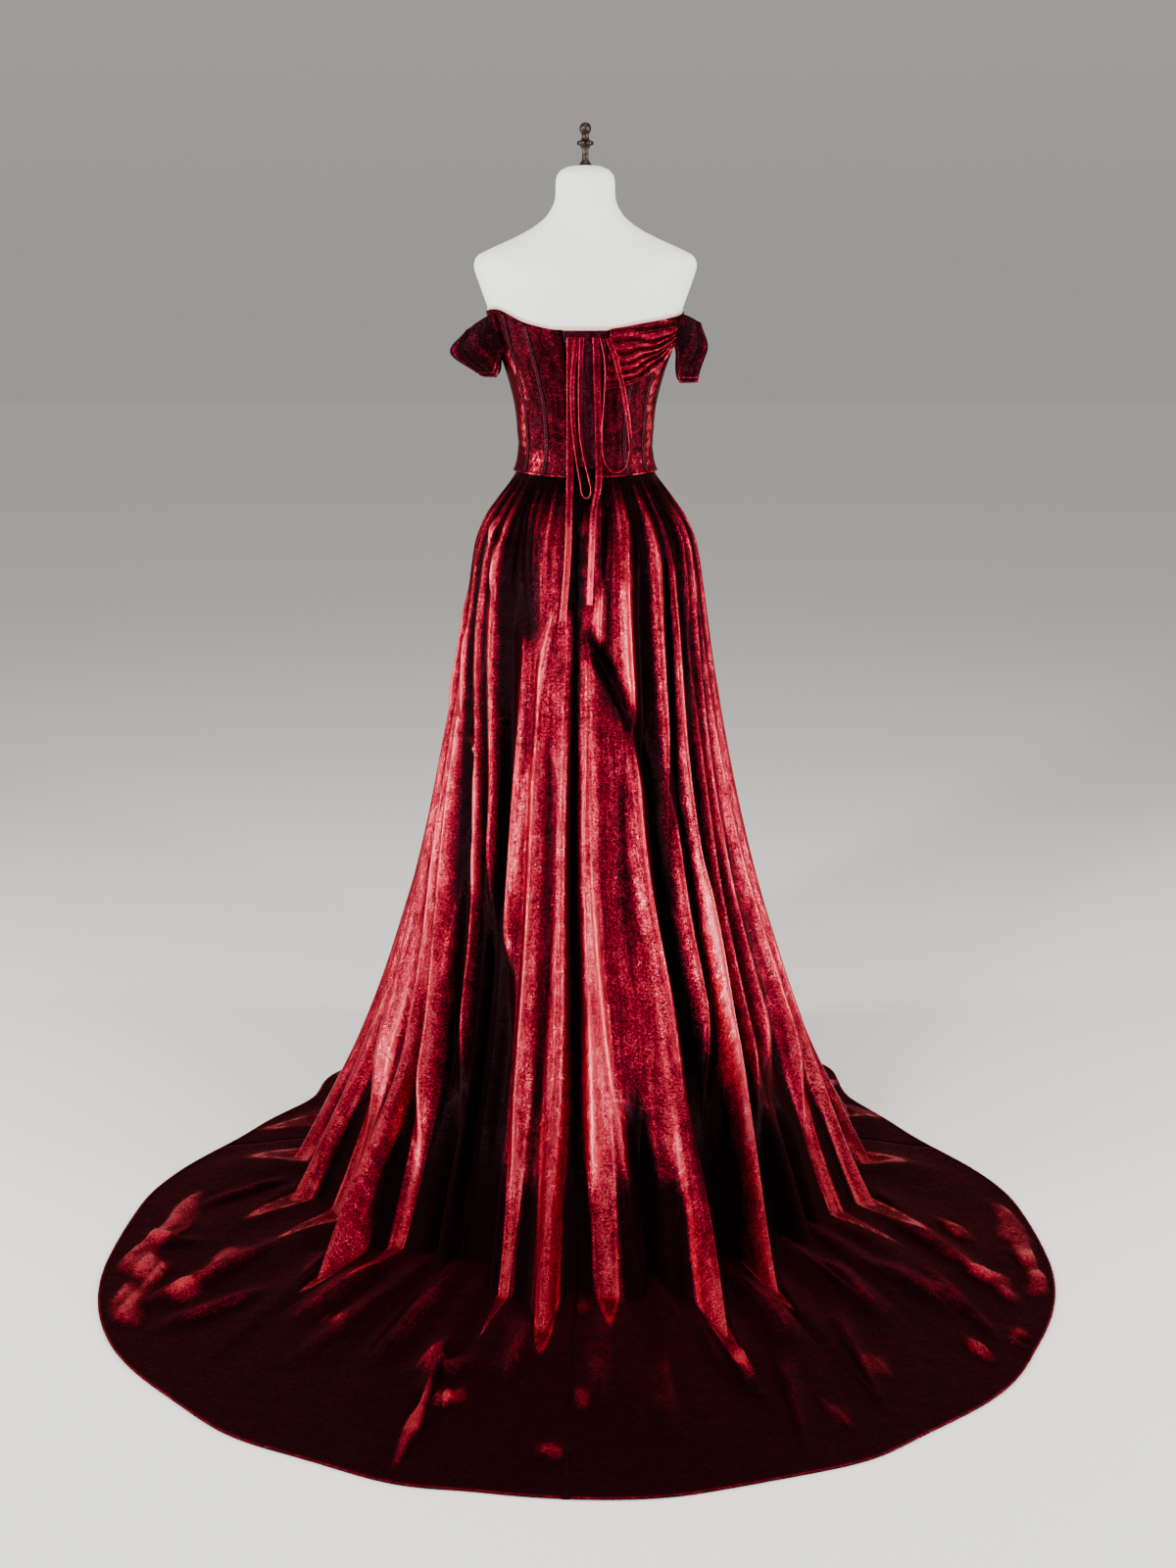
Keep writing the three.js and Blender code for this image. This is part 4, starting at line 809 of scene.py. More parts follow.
def add_form(jersey, metal):
    """The padded torso, closed at its neck and foot, with the finial. Its stand keeps its CAD solids."""
    heights = np.concatenate([np.arange(FORM_FOOT, FORM_TOP, 6), [FORM_TOP]])[:, None]
    angles = np.linspace(180, -180, 145)[None, :]
    body = on_form(angles, heights, 0)
    foot = body[:1] * np.array([0.02, 0.02, 1])
    crown = [body[-1:] * np.array([share, share, 0]) + np.array([0, 0, top]) for share, top in NECK_CROWN]
    grid = np.concatenate([foot, body, *crown])
    rows, width = grid.shape[:2]
    index = np.arange(rows * width).reshape(rows, width)
    index[:, -1] = index[:, 0]
    around = np.linspace(0, 1.0, width)[None, :]
    uvs = np.stack(np.broadcast_arrays(around, grid[..., 2] * 0.001), axis=-1).reshape(-1, 2)
    torso = add_object("torso", grid.reshape(-1, 3) * 0.001, quads(index), jersey, uvs)
    stands_for(torso, "form_torso")
    seat = NECK_TOP + SEAM_GAP
    finial = lathe("finial", [(radius, seat + height) for radius, height in FINIAL], 48, metal)
    stands_for(finial, "form_finial")
    for name in ("form_pole", "form_base"):
        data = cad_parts[name].data
        data.materials.clear()
        data.materials.append(metal)


# ---------------------------------------------------------------- skirt

def fold_angle(count, height):
    """The angle of a place in the count of folds, at a height."""
    stations = []
    for name in reversed(STATIONS):
        angles = FOLDS[name]
        padded = np.concatenate([angles[-4:] - 360, angles, angles[:4] + 360])
        stations.append(smooth_curve(np.arange(-4, FOLD_COUNT + 4), padded, count))
    return smooth_curve(list(reversed(STATIONS.values())), np.array(stations), height)


def fold_shape(count, height):
    """A fold's crest, from 0 in the valleys to 1, its fullness, its toe's reach and its valley's depth."""
    nearest = np.round(count)
    row = nearest.astype(int) % FOLD_COUNT
    aside = count - nearest
    wander = 0.05 * np.sin(height / 105.0 + 2.1 * nearest) * above(height, "folds wander")
    leaning = aside + (0.26 * FOLDS["lean"][row] + wander) * np.cos(math.pi * aside) ** 2
    point = 0.85 + 0.9 * (1 - above(height, "folds without toes"))
    crest = (0.5 + 0.5 * np.cos(2 * math.pi * leaning)) ** point
    upper = above(height, "folds in the skirt's upper part")
    full = FOLDS["lower"][row] * (1 - upper) + FOLDS["upper"][row] * upper
    ends = FOLDS["ends"][row]
    fade = np.where(ends > 0, smoothstep(height, ends, ends + FOLD_FADE), 1)
    valley = np.where(aside < 0, FOLDS["valley"][row - 1], FOLDS["valley"][row])
    return crest, full * fade, FOLDS["reach"][row], valley


def wrapped(angle):
    """An angle past 180 as the one a turn below it."""
    return np.where(angle > 180, angle - 360, angle)


def rim_point(angle):
    """The train's rim where it lies out from an angle of the skirt's foot."""
    turn = smooth_curve(TRAIN_SPREAD["foot"], TRAIN_SPREAD["rim"], wrapped(angle))
    beside_feet = np.clip((np.abs(turn) - HEM_PINCH["start"]) / HEM_PINCH["over"], 0, 1)
    x, y = on_oval(HEM["half"], HEM["centre"], HEM["back"], HEM["front"], turn, 0)
    pinch = HEM_PINCH["share"] * np.sin(math.pi * beside_feet) ** 2
    return points(x * (1 + HEM_LEAN * np.sin(np.radians(turn)) - pinch), y, 0.0)


SKIRT_OVAL = ("half", "centre", "back", "front")


def fold_direction(oval, angle, height):
    """Folds stand square to the skirt high up, and turn into the train's way at the floor."""
    x0, y0 = on_oval(*oval, angle, 0)
    x1, y1 = on_oval(*oval, angle, 1)
    square = points(x1 - x0, y1 - y0, 0.0)
    floor_x, floor_y = on_oval(*section_at(SKIRT, 0, SKIRT_OVAL), angle, 0)
    train_way = unit(rim_point(angle) - points(floor_x, floor_y, 0.0))
    share = above(height, "folds square to the skirt")[..., None]
    return unit(train_way * (1 - share) + square * share)


def crease_depth(count, height, spacing):
    """How deep the skirt's creases cut at a place."""
    total = np.zeros(np.broadcast(count, height).shape)
    for top_count, top, low_count, low, bow, width, depth in zip(*SKIRT_CREASES.values()):
        share = (top - height) / (top - low)
        middle = top_count + (low_count - top_count) * share + 4 * bow * share * (1 - share)
        ends = smoothstep(share, -0.02, 0.25) * (1 - smoothstep(share, 0.72, 1.02))
        taper = width * (0.4 + 0.6 * ends)
        total += depth * ends * bell((count - middle) * spacing, 0, taper)
    return total


def hanging_grid(count, height):
    """The skirt from the floor up to the waist seam, with its painted shade and painted highlight.

    count is a row of places in the count of folds, and height is a column.
    """
    angle = fold_angle(count, height)
    oval = section_at(SKIRT, height, SKIRT_OVAL)
    fold_back, fold_front = section_at(SKIRT, height, ("fold_back", "fold_front"))
    crest, full, reach, valley = fold_shape(count, height)
    to_back = 0.5 + 0.5 * np.cos(np.radians(angle))
    depth = fold_front + (fold_back - fold_front) * to_back
    sunk = crest * (1 - full) + (1 - crest) * valley
    stand = crest * reach * (1 - above(height, "folds without toes")) - sunk * depth
    x, y = on_oval(*oval, angle, 0)
    spacing = np.hypot(np.gradient(x, axis=1), np.gradient(y, axis=1)) / np.gradient(count, axis=1)
    creases = crease_depth(count, height, spacing)
    seam, seam_hollow = centre_seam(count, height, spacing)
    gathered = gathers(count, height)
    aside = (count - CENTRE_BACK_SEAM) * spacing
    pressed = bell(aside, 0, UNDER_RIBBONS["width"]) * above(height, "under ribbons")
    relief = (gathered - creases) * (1 - UNDER_RIBBONS["calm"] * pressed) - UNDER_RIBBONS["pressed"] * pressed
    stand = stand + relief - seam
    direction = fold_direction(oval, angle, height)
    # Painted shade in the valleys, creases, gather troughs and seam and under the bodice, and painted
    # highlight on ridges, gather crests, toe edges and crests.
    toe_edge_highlight = full * bell(crest, 0.3, 0.12) * (1 - above(height, "toes without bright edges"))
    ridge = (crest * full) ** 5 * (1 - above(height, "crests without shine"))
    hollow = SHADE["valley"] * smoothstep(sunk, 0.15, 0.95) + creases / 18 - gathered / 9 + seam_hollow
    hollow = hollow + SHADE["bodice"] * above(height, "bodice's shade")
    hollow = hollow - SHADE["toe"] * toe_edge_highlight - SHADE["crest"] * ridge
    return points(x, y, height) + direction * stand[..., None], np.clip(hollow, -0.5, 1)


def gathers(count, height):
    """Small gathers under the waist seam, uneven from one to the next and sharper than they are wide."""
    size = GATHERS["height"] * above(height, "gathers") * (1 - above(height, "gathers pressed flat"))
    uneven = 1 + 0.5 * np.sin(1.7 * count) + 0.4 * np.sin(4.1 * count + 1)
    first = np.abs(np.sin(math.pi * GATHERS["in_fold"] * count + 0.8 * np.sin(0.9 * count) + height / 300))
    second = np.abs(np.sin(math.pi * GATHERS["finer"] * count + 2 + 0.6 * np.sin(1.9 * count)))
    return size * uneven * (0.9 - first - 0.5 * second)


def centre_seam(count, height, spacing):
    """The centre-back seam's groove with the puckers that its stitches draw in, and the painted shade along
    it.
    """
    aside = (count - CENTRE_BACK_SEAM) * spacing
    groove = SEAM["groove"] * bell(aside, 0, SEAM["groove_width"])
    tugs = np.sin(height / 9.0 + 2 * np.sin(height / 31.0)) * np.sin(height / 23.0)
    opening = above(height, "closed opening")
    deep = (SEAM["pucker"] + SEAM["more"] * opening) * tugs
    pucker = deep * bell(aside, 0, SEAM["pucker_width"]) * above(height, "puckered seam")
    shade = (0.75 + 0.6 * tugs) * opening * bell(aside, 0, SEAM["shade_width"])
    hollow = 0.8 * bell(aside, 0, 3) + shade
    return (groove + pucker) * (1 - above(height, "bodice over the seam")), hollow


def train_grid(count, share, foot):
    """The train from the folds' foot, at share 0, to the hem.

    Returns its points, its painted shade and highlight, how far out it lies, and how much painted highlight
    its glints and rolled hem take.
    """
    angle = fold_angle(count, np.zeros((1, 1)))
    rim = rim_point(angle)
    wave = np.cos(2 * math.pi * count)
    front_share = np.maximum(0, -np.cos(np.radians(angle)))
    turn = 2 * math.pi * count / FOLD_COUNT
    outward = fold_direction(section_at(SKIRT, 0, SKIRT_OVAL), angle, np.zeros((1, 1)))
    waves = RIM_WAVES["under_folds"] * wave * front_share + RIM_WAVES["uneven"] * np.sin(11 * turn)
    rim = rim + outward * waves[..., None]
    flat = foot * (1 - share[..., None]) + rim * share[..., None]
    length = np.linalg.norm(rim - foot, axis=-1)
    spacing = np.linalg.norm(np.gradient(flat, axis=1), axis=-1) / np.gradient(count, axis=1)
    ripple = (1 - share) * (0.5 + 0.5 * wave) + share * (1 - share) * (1 + np.sin(9 * turn + 6 * share))
    lift = TRAIN_RIPPLE * ripple * np.minimum(1, 6 * share) * (1 - share ** 2)
    shine, crushed = train_glints(count, share)
    creases = train_creases(count, share, spacing) + crushed
    from_hem = (1 - share) * length
    roll = bell(from_hem, 2.2, 2.2)
    seam = bell((count - CENTRE_BACK_SEAM) * spacing, 0, 3)
    flat[..., 2] = VELVET + lift + creases + 1.6 * roll - 0.8 * seam
    # A little painted shade all over, more along the seam, and painted highlight on the creases' ridges, the
    # rolled hem and the glints.
    hollow = 0.2 - (creases - crushed) / 22 + 0.6 * seam - 0.3 * roll - 0.55 * shine
    hollow = np.clip(hollow, -0.5, 1)
    return flat, hollow, share * length, np.maximum(shine, 0.9 * roll)


def train_creases(count, share, spacing):
    """Ridges where the train was pulled over the floor, highest in their middle."""
    total = np.zeros(np.broadcast(count, share).shape)
    for inner_count, inner, outer_count, outer, width, height in zip(*TRAIN_CREASES.values()):
        t = (share - inner) / (outer - inner)
        middle = inner_count + (outer_count - inner_count) * t
        ends = smoothstep(t, -0.05, 0.35) * (1 - smoothstep(t, 0.6, 1.05))
        total += height * ends * bell((count - middle) * spacing, 0, width)
    return total


def painted_floor_shade_and_edge(count, above_floor, glints):
    """How much painted floor shade a place takes, and the painted highlight along the edge of the toes.

    The painted floor shade leaves the folds' toes out like fingers, each leaning to its own side. above_floor
    is the height of a place, or below 0, how far out over the floor it is.
    """
    lean = FOLDS["lean"][np.round(count).astype(int) % FOLD_COUNT]
    bent = count + 0.3 * lean * np.clip((80 - above_floor) / 250, 0, 1)
    crest, full = fold_shape(bent, np.zeros((1, 1)))[:2]
    finger = 0.4 * smoothstep(crest * full, 0.1, 0.5) + 0.6 * (crest * full) ** 3
    above_shade_start = above_floor - (FLOOR_SHADE_START["height"] - FLOOR_SHADE_START["finger"] * finger)
    edge = smoothstep(finger, 0.25, 0.5) * bell(above_shade_start, FLOOR_SHADE_START["over"], FLOOR_SHADE_START["edge"])
    return (1 - smoothstep(above_shade_start, 0, FLOOR_SHADE_START["over"])) * (1 - glints), edge


def train_glints(count, share):
    """Patches of painted highlight on the train, and the small wrinkles that crush it there."""
    total = np.zeros(np.broadcast(count, share).shape)
    for at_count, at_share, count_size, share_size, shine in zip(*TRAIN_GLINTS.values()):
        across = (count - at_count) / count_size + 0.35 * np.sin(26 * share + 5 * count)
        along = (share - at_share) / share_size + 0.35 * np.sin(9 * count - 7 * share)
        total += shine * np.exp(-((across ** 2 + along ** 2) ** 3))
    wrinkles = np.sin(2 * math.pi * (2.3 * count + 4 * share) + 2 * np.sin(5 * count + 8 * share))
    total = np.clip(total, 0, 1)
    return total * (0.8 + 0.2 * wrinkles), 9 * total ** 2 + 3.5 * total * wrinkles


def add_skirt_panel(name, from_count, to_count, per_fold, cut, material):
    """One of the skirt's three panels, from the train's hem up to the tuck under the bodice."""
    steps = round((to_count - from_count) * per_fold)
    margin = 0.0003
    count = np.linspace(to_count - margin, from_count + margin, steps + 1)[None, :]
    hanging, hanging_hollow = hanging_grid(count, HANGING_ROWS)
    foot = hanging_grid(count, np.zeros((1, 1)))[0]
    train, train_hollow, run, glints = train_grid(count, TRAIN_ROWS, foot)
    tuck = on_form(fold_angle(count, TUCK_ROWS), TUCK_ROWS, LINING_OFFSET + VELVET)
    grid = np.concatenate([train, hanging, tuck])
    # The tuck under the bodice is painted in full shade.
    dark = np.ones((len(TUCK_ROWS), steps + 1))
    # The train and the folds' feet take painted floor shade, and the toes a painted highlight along their
    # edges.
    train_floor_shade, train_edge_highlight = painted_floor_shade_and_edge(count, -run, glints)
    foot_floor_shade, foot_edge_highlight = painted_floor_shade_and_edge(count, HANGING_ROWS, 0)
    on_floor = np.concatenate([train_floor_shade, foot_floor_shade, np.zeros_like(dark)])
    hollow = np.concatenate([train_hollow - 0.5 * train_edge_highlight, hanging_hollow - 0.4 * foot_edge_highlight, dark])
    hollow = np.maximum(hollow, -0.5)
    piece = cloth(name, grid, VELVET, material, floor=0, hollow=hollow, on_floor=on_floor)
    stands_for(piece, name)


# ---------------------------------------------------------------- bodice

def neckline(angle):
    """The height of the bodice's upper edge."""
    return smooth_curve(NECKLINE["angle"], NECKLINE["height"], wrapped(angle))


def bodice_hem(angle):
    """The height of the bodice's lower edge, which rises a little at the sides."""
    return BODICE_HEM + 6 * np.sin(np.radians(angle)) ** 2


def bodice_height(angle, share):
    """The height at a share of the way up the bodice."""
    return bodice_hem(angle) + (neckline(angle) - bodice_hem(angle)) * share


def bodice_flare(height):
    """How far the bodice's lower edge stands out over the skirt."""
    return BODICE_FLARE["stand"] * (1 - smoothstep(height, BODICE_HEM, BODICE_HEM + BODICE_FLARE["height"]))


def seam_angle(name, share):
    """A bodice seam's angle at a share of the way up."""
    return smooth_curve([0, 0.25, 1], BODICE_SEAMS[name], share)


def bodice_grid(start, end, across, share, offset):
    """A bodice panel between two seams, which bulges a little between them, with its painted shade and
    highlight.
    """
    angle = start + (end - start) * across
    height = bodice_height(angle, share)
    bulge = 0.9 * np.sin(math.pi * across) ** 0.7 - 0.5
    roll = 0.8 * bell(height - bodice_hem(angle), 1.4, 1.3)
    creases = crease_field(angle * DEGREE, height) + crease_field((angle - 360) * DEGREE, height)
    seams = bell(across, 0, 0.07) + bell(across, 1, 0.07)
    # The sides get painted highlights, broken up by crushing that also raises small relief.
    pressed, crush = painted_side_highlights(angle, height)
    creases = creases + 0.3 * pressed * crush
    shade_by_opening = bell(np.abs(wrapped(angle)), 9, 6)
    # Painted shade all over, deeper in the creases, at the seams and by the opening, and painted highlight on
    # the rolled hem and the sides.
    hollow = 0.36 + 0.16 * creases + 0.3 * seams + 0.3 * shade_by_opening - 0.5 * roll
    hollow = np.clip(hollow - 0.42 * pressed * (0.9 + crush), -0.45, 1)
    return on_form(angle, height, offset + bodice_flare(height) + bulge + roll - creases), hollow


def painted_side_highlights(angle, height):
    """Painted highlights down the sides and at the waist, and the crushing across them, which also raises
    small relief.
    """
    plus_x = wrapped(angle) > 0
    turn = np.abs(wrapped(angle))
    side_place = np.where(plus_x, 61, 66) + 3.5 * np.sin(height / 26)
    side = 1.9 * bell(turn, side_place, 5) * above(height, "pressed sides")
    side = side * (1 - above(height, "sides under the sleeves"))
    low = bell(height, 1146, 17) * bell(turn, np.where(plus_x, 45, 62), 12)
    crush = np.sin(height / 3.3 + 2.2 * np.sin(turn / 1.9)) * np.sin(height / 8.7 + turn / 1.6)
    return side + low, crush


def add_bodice(velvet, dark, thread):
    """The bodice's panels and boning channels on both sides, and its front."""
    margin = 0.03
    share = np.concatenate([np.linspace(0, 0.024, 7), np.linspace(0.035, 1, 72)])[:, None]
    for hand, sign in (("left", 1), ("right", -1)):
        across = np.linspace(1, 0, 26)[::sign]
        for name, (first, second, cut) in BODICE_STRIPS.items():
            start, end = seam_angle(first, share) + margin, seam_angle(second, share) - margin
            add_bodice_panel(f"{name}_{hand}", (sign * start, sign * end), across, share, velvet)
        for name, seam in CHANNEL_SEAMS.items():
            add_channel(f"{name}_{hand}", sign, seam, dark, thread)
    start = seam_angle("front", share)
    across = np.linspace(1, 0, 40)
    add_bodice_panel("bodice_front", (start, 360 - start), across, share, velvet)


def add_bodice_panel(name, seams, across, share, velvet):
    grid, hollow = bodice_grid(*seams, across[None, :], share, BODICE_FACE)
    piece = cloth(name, grid, VELVET, velvet, hollow=hollow)
    stands_for(piece, name)


def channel_grid(sign, seam, offsets, share, lift):
    """Points over a bodice seam, at offsets to its sides in millimetres."""
    angle = sign * seam_angle(seam, share)
    height = bodice_height(angle, share)
    middle = on_form(angle, height, BODICE_FACE + SEAM_GAP + bodice_flare(height))
    tangent = unit(on_form(angle + 1, height, 0) - on_form(angle - 1, height, 0))
    out = unit(middle - on_form(angle, height, 0))
    return middle + tangent * offsets[..., None] + out * lift[..., None]


def add_channel(name, sign, seam, dark, thread):
    """A boning channel: a narrow strip that domes over its bone, stitched down along both edges."""
    share = np.linspace(0.01, 0.98, 70)[:, None]
    half = CHANNEL_WIDTH / 2
    offsets = np.linspace(half, -half, 9)[None, :]
    dome = CHANNEL_THICKNESS * (0.25 + 0.75 * np.sqrt(np.maximum(0, 1 - (offsets / half) ** 2)))
    grid = channel_grid(sign, seam, offsets, share, dome)
    # The channel is in the copy of the velvet painted in shade.
    piece = cloth(name, grid, 0.6, dark)
    stands_for(piece, name)
    starts = np.linspace(0.02, 0.97, 62)
    ends = np.stack([starts, starts + 0.009], axis=1).reshape(-1, 1)
    lift = np.full((1, 1), 0.95 * CHANNEL_THICKNESS)
    stitches = []
    for side in (-1, 1):
        line = channel_grid(sign, seam, np.full((1, 1), side * (half - 0.7)), ends, lift)
        stitches.append(line.reshape(-1, 2, 3))
    add_stitches(f"{name}_stitches", np.concatenate(stitches), thread)


def add_stitches(name, ends, material):
    """Short lengths of thread between pairs of points, each a six-sided grain."""
    radius, sides = 0.28, 6
    start, end = ends[:, 0], ends[:, 1]
    along = unit(end - start)
    side = unit(np.cross(along, np.array([0.3, 0.2, 0.1])))
    other = np.cross(along, side)
    turn = np.linspace(0, 2 * math.pi, sides, endpoint=False)
    rings = []
    around = side[:, None] * np.cos(turn)[None, :, None] + other[:, None] * np.sin(turn)[None, :, None]
    for share, size in ((0, 0.35), (0.2, 1), (0.8, 1), (1, 0.35)):
        centre = start + (end - start) * share
        rings.append(centre[:, None] + radius * size * around)
    stacked = np.stack(rings, axis=1)
    index = np.arange(stacked.size // 3).reshape(len(ends), 4, sides)
    faces = []
    for stitch in index:
        faces += quads(np.concatenate([stitch, stitch[:, :1]], axis=1)[:, ::-1])
        faces += [stitch[0].tolist(), stitch[-1][::-1].tolist()]
    piece = add_object(name, stacked.reshape(-1, 3) * 0.001, faces, material)
    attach(piece, "root")


def add_centre_back(dark, satin):
    """The modesty panel, the placket across its top and the edge of lining over the velvet."""
    angle = np.linspace(MODESTY["sides"], -MODESTY["sides"], 30)[None, :]
    height = np.linspace(MODESTY["from"], MODESTY["to"], 60)[:, None]
    pull = 0.3 * np.sin(height / 7.0) * np.sin(height / 19.0 + 1) * np.cos(np.radians(angle * 4)) ** 2
    # The modesty panel and the placket below take the copy of the velvet painted in shade.
    modesty = cloth("modesty_panel", on_form(angle, height, LINING_OFFSET + VELVET + pull), VELVET, dark)
    stands_for(modesty, "modesty_panel")
    height = np.linspace(1348, 1364, 9)[:, None]
    share = (height - bodice_hem(0)) / (neckline(0) - bodice_hem(0))
    angle = seam_angle("back_edge", share) * np.linspace(1, -1, 25)[None, :]
    placket = cloth("back_placket", on_form(angle, height, BODICE_FACE), VELVET, dark)
    stands_for(placket, "back_placket")
    sides = LINING_EDGE["sides"]
    angle = np.linspace(sides, -sides, 140)[None, :]
    top = neckline(angle) + LINING_EDGE["shows"] + 0.7 * np.sin(angle / 5.0) * np.sin(angle / 13.0)
    height = top - LINING_EDGE["width"] * np.linspace(1, 0, 10)[:, None]
    lining = cloth("lining_edge", on_form(angle, height, LINING_OFFSET + LINING), LINING, satin)
    stands_for(lining, "lining_edge")


# ---------------------------------------------------------------- swag and sleeves

def add_swag(velvet):
    """The swag: gathers that fan out from the side seam and open towards the centre back."""
    share = np.linspace(0, 1, 90)[None, :]
    up = np.linspace(0, 1, 150)[:, None]
    low, high, angle = (
        smooth_curve(SWAG_EDGES["share"], SWAG_EDGES[name], share) for name in ("low", "high", "angle"))
    height = low + (high - low) * up
    drift = 0.05 * np.sin(2.2 * math.pi * share + 4 * up) + 0.02 * np.sin(5.1 * math.pi * share + 9 * up)
    bunched = 0.25 * up + 0.75 * smoothstep(up, 0.2, 0.85)
    spread = up + 0.16 * np.sin(math.pi * share) * np.sin(math.pi * up)
    fan = spread + (bunched - spread) * share ** 1.6
    phase = SWAG_GATHERS * (fan + drift * np.sin(math.pi * up)) + 0.2
    uneven = 1 + 0.3 * np.sin(2.3 * np.floor(phase) + 1)
    gather = np.abs(np.sin(math.pi * phase)) ** 0.9
    fullness = 2.4 + 5 * np.sin(math.pi * share * 0.75) ** 1.5
    inside = smoothstep(up, 0, 0.1) * (1 - smoothstep(up, 0.94, 1))
    edge_roll = 0.9 * bell(up, 0.02, 0.012) + 0.7 * bell(up, 0.075, 0.012)
    small = 0.35 * np.sin(2 * math.pi * (19 * up + 1.5 * share)) * np.sin(math.pi * share)
    grid = on_form(angle, height, SWAG_OFFSET + gather * fullness * uneven * inside + edge_roll + small)
    # Painted shade in the gathers' troughs and between the hem's two rolls, and painted highlight on the
    # gathers' crests.
    shade_between_rolls = 0.5 * bell(up, 0.047, 0.013)
    calm = 0.35 + 0.65 * share
    hollow = 0.2 + (0.5 * (1 - gather) * inside - 0.25 * gather * uneven) * calm + shade_between_rolls
    hollow = np.clip(hollow, -0.3, 1)
    piece = cloth("swag_back_right", grid, VELVET, velvet, hollow=hollow)
    stands_for(piece, "swag_back_right")


def sleeve_grid(sleeve, along, up):
    """A sleeve's arch, gathered at both ends, with its painted shade and highlight: up is 0 at the hem, 1 at
    the top.
    """
    side = sleeve["side"]
    arch = np.maximum(0, np.sin(math.pi * along))
    lowest = sleeve["hem"] + sleeve["rise"] * (1 - smoothstep(arch, 0, 0.5))
    height = lowest + (sleeve["top"] - sleeve["drop"] * arch - lowest) * up
    off = BODICE_FACE + 1.5 * SEAM_GAP - sleeve["sink"]
    back = on_form(side * sleeve["end"], height, off + VELVET)
    front = on_form(side * (180 - sleeve["end"]), height, off + VELVET)
    grid = back + (front - back) * along[..., None]
    body_side = np.abs(on_form(side * 90, height, off)[..., 0]) - np.abs(grid[..., 0])
    stand = smooth_curve([0, 0.5, 1], sleeve["stand"][::-1], up)
    sway = 1.3 * np.sin(2.9 * up + 0.7) + 0.7 * np.sin(6 * up + 5 * along) + 0.8 * np.sin(4.4 * along)
    wave = np.cos(2 * math.pi * SLEEVE_GATHERS * along + sway)
    fine_wave = np.cos(2 * math.pi * 2.6 * SLEEVE_GATHERS * along + 1.7 * sway)
    gather = (wave + 0.4 * fine_wave) * 3.5 * arch * (1.3 - up)
    puff = 2.5 * np.sin(math.pi * up) ** 2 * np.cos(2 * math.pi * (SLEEVE_GATHERS + 2) * along + sway) * arch
    roll = bell(up, 0.02, 0.014) + bell(up, 0.085, 0.014)
    grid[..., 0] += side * arch ** 0.8 * (body_side + stand + gather + puff + 1.2 * roll)
    grid[..., 1] *= 1 + SLEEVE_FLARE * (1 - up)
    # Painted shade all over the sleeve, deeper in the gathers' troughs and between the hem's rolls, and
    # painted highlight on the rolls and gathers' crests.
    hollow = 0.6 - 0.12 * wave - 0.1 * fine_wave - 0.45 * roll + 0.2 * bell(up, 0.05, 0.015)
    return grid, np.clip(hollow, -0.3, 1)


def add_sleeves(velvet):
    """Both off-shoulder sleeves."""
    for hand, sleeve in SLEEVES.items():
        along = np.linspace(1, 0, 160)[::sleeve["side"]]
        up = np.concatenate([np.linspace(0, 0.12, 16), np.linspace(0.14, 1, 48)])
        grid, hollow = sleeve_grid(sleeve, along[None, :], up[:, None])
        piece = cloth(f"sleeve_{hand}", grid, VELVET, velvet, hollow=hollow)
        stands_for(piece, f"sleeve_{hand}")


# ---------------------------------------------------------------- studio

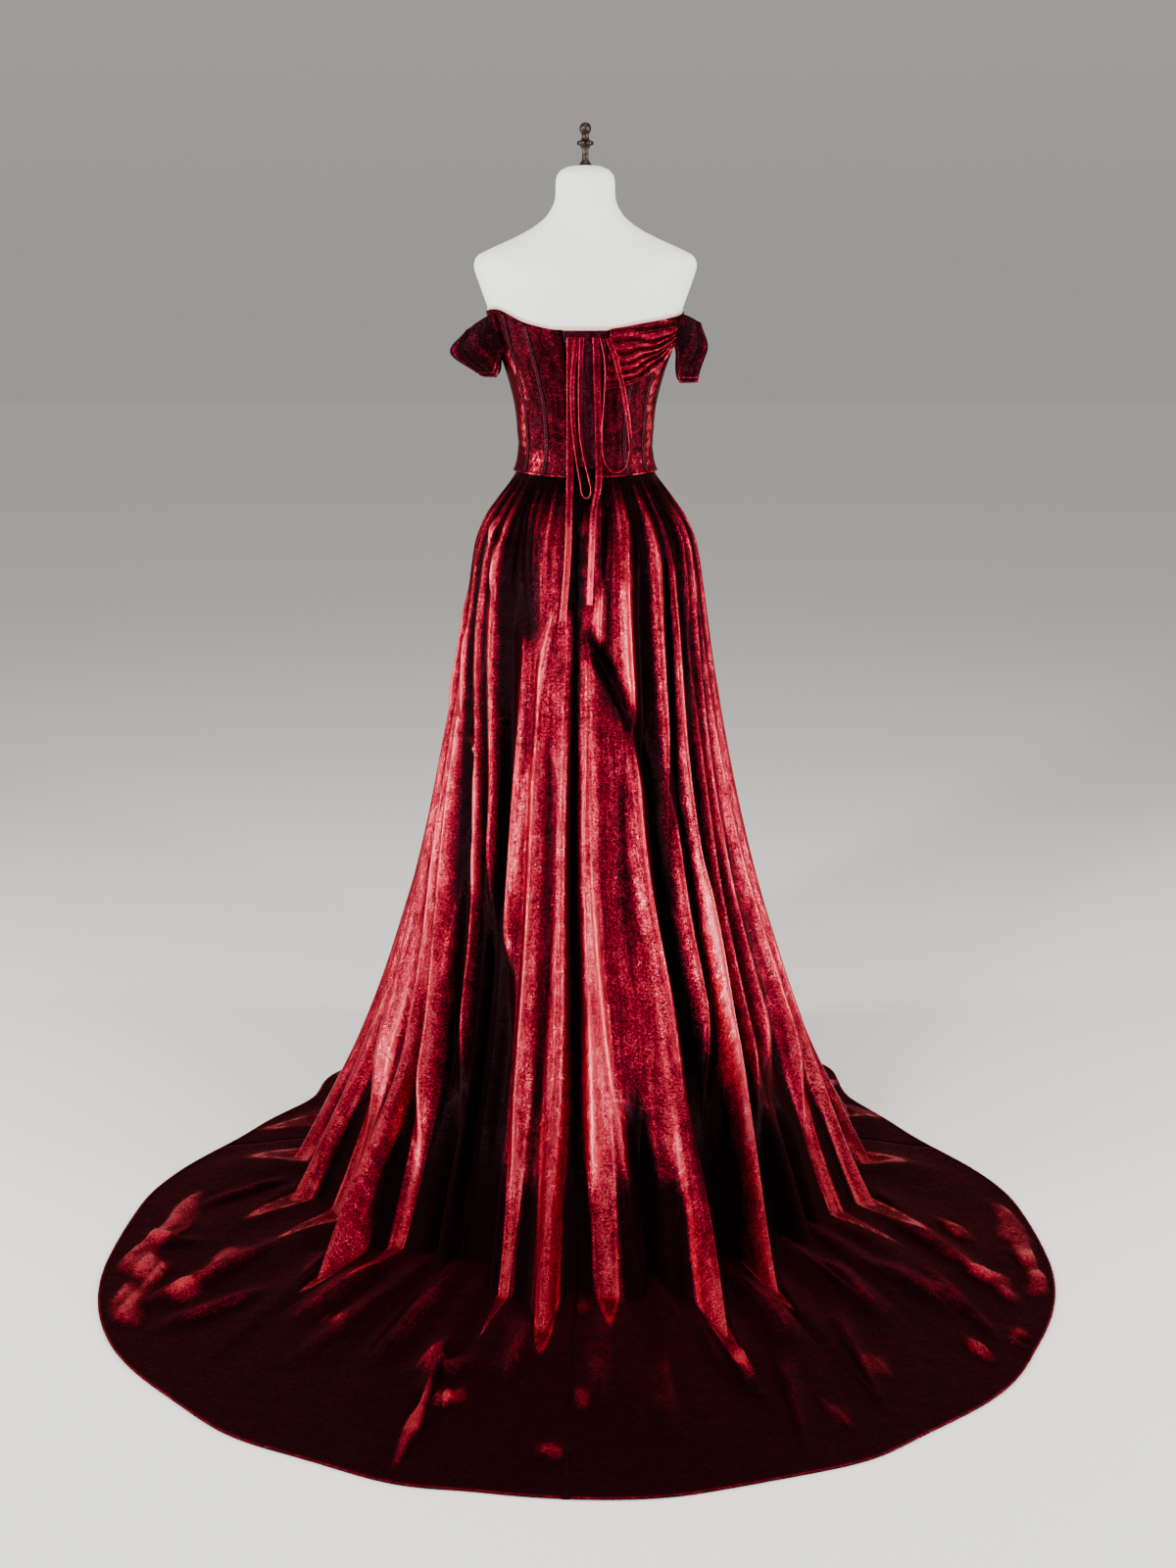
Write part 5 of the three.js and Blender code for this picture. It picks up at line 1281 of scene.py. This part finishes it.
# Each light's place, what it points at, its width and height in metres and its power in watts.
LIGHTS = {
    "key": ((2.3, 4.0, 2.5), (0, 0.3, 0.8), (0.3, 2.2), 235),
    "fill": ((-2.7, 3.6, 1.7), (0, 0.3, 0.8), (0.28, 2.4), 135),
    "left strip": ((3.0, 0.7, 1.5), (0, 0.2, 0.8), (0.25, 2.4), 115),
    "right strip": ((-3.0, 0.7, 1.5), (0, 0.2, 0.8), (0.25, 2.4), 105),
    "top": ((-0.3, 1.2, 4.2), (0, 0.3, 0.9), (2.4, 2.4), 40),
}
# How bright the world is at the horizon and, from this share of the way up, over it.
WORLD = {"horizon": 0.52, "over": 0.66, "rise": 0.3}


def add_area_light(name, place, target, size, power):
    data = bpy.data.lights.new(name, "AREA")
    data.shape = "RECTANGLE"
    data.size, data.size_y = size
    data.energy = power
    light = bpy.data.objects.new(name, data)
    light.location = place
    light.rotation_euler = (Vector(target) - Vector(place)).to_track_quat("-Z", "Y").to_euler()
    bpy.context.scene.collection.objects.link(light)


def add_studio():
    """A pale floor, a world that meets it without a horizon line, and tall narrow lights."""
    bpy.ops.mesh.primitive_plane_add(size=40)
    floor = bpy.context.object
    floor.name = "floor"
    floor.data.materials.append(
        new_material("studio floor", Roughness=0.8, Base_Color=colour("#ECE9E5"))[0])
    world = bpy.data.worlds.new("studio")
    world.use_nodes = True
    tree = world.node_tree
    background = tree.nodes["Background"]
    background.inputs["Color"].default_value = colour("#D8D6D3")
    direction = node(tree, "ShaderNodeTexCoord").outputs["Generated"]
    rise = node(tree, "ShaderNodeSeparateXYZ", links={"Vector": direction}).outputs["Z"]
    brightness = node(
        tree, "ShaderNodeMapRange",
        {"From Max": WORLD["rise"], "To Min": WORLD["horizon"], "To Max": WORLD["over"]}, {"Value": rise})
    feed(tree, background, {"Strength": brightness.outputs["Result"]})
    bpy.context.scene.world = world
    for name, light in LIGHTS.items():
        add_area_light(name, *light)


add_camera()
velvet, ribbon_velvet, velvet_in_painted_shade = (velvet_material(name, *look) for name, look in VELVETS.items())
satin = satin_material()
thread = thread_material()
for ribbon_name, ribbon in RIBBONS.items():
    add_ribbon(ribbon_name, ribbon, ribbon_velvet)
add_form(jersey_material(), metal_material())
for panel_name, panel in SKIRT_PANELS.items():
    add_skirt_panel(panel_name, *panel, velvet)
add_bodice(velvet, velvet_in_painted_shade, thread)
add_centre_back(velvet_in_painted_shade, satin)
add_swag(velvet)
add_sleeves(velvet)
add_studio()
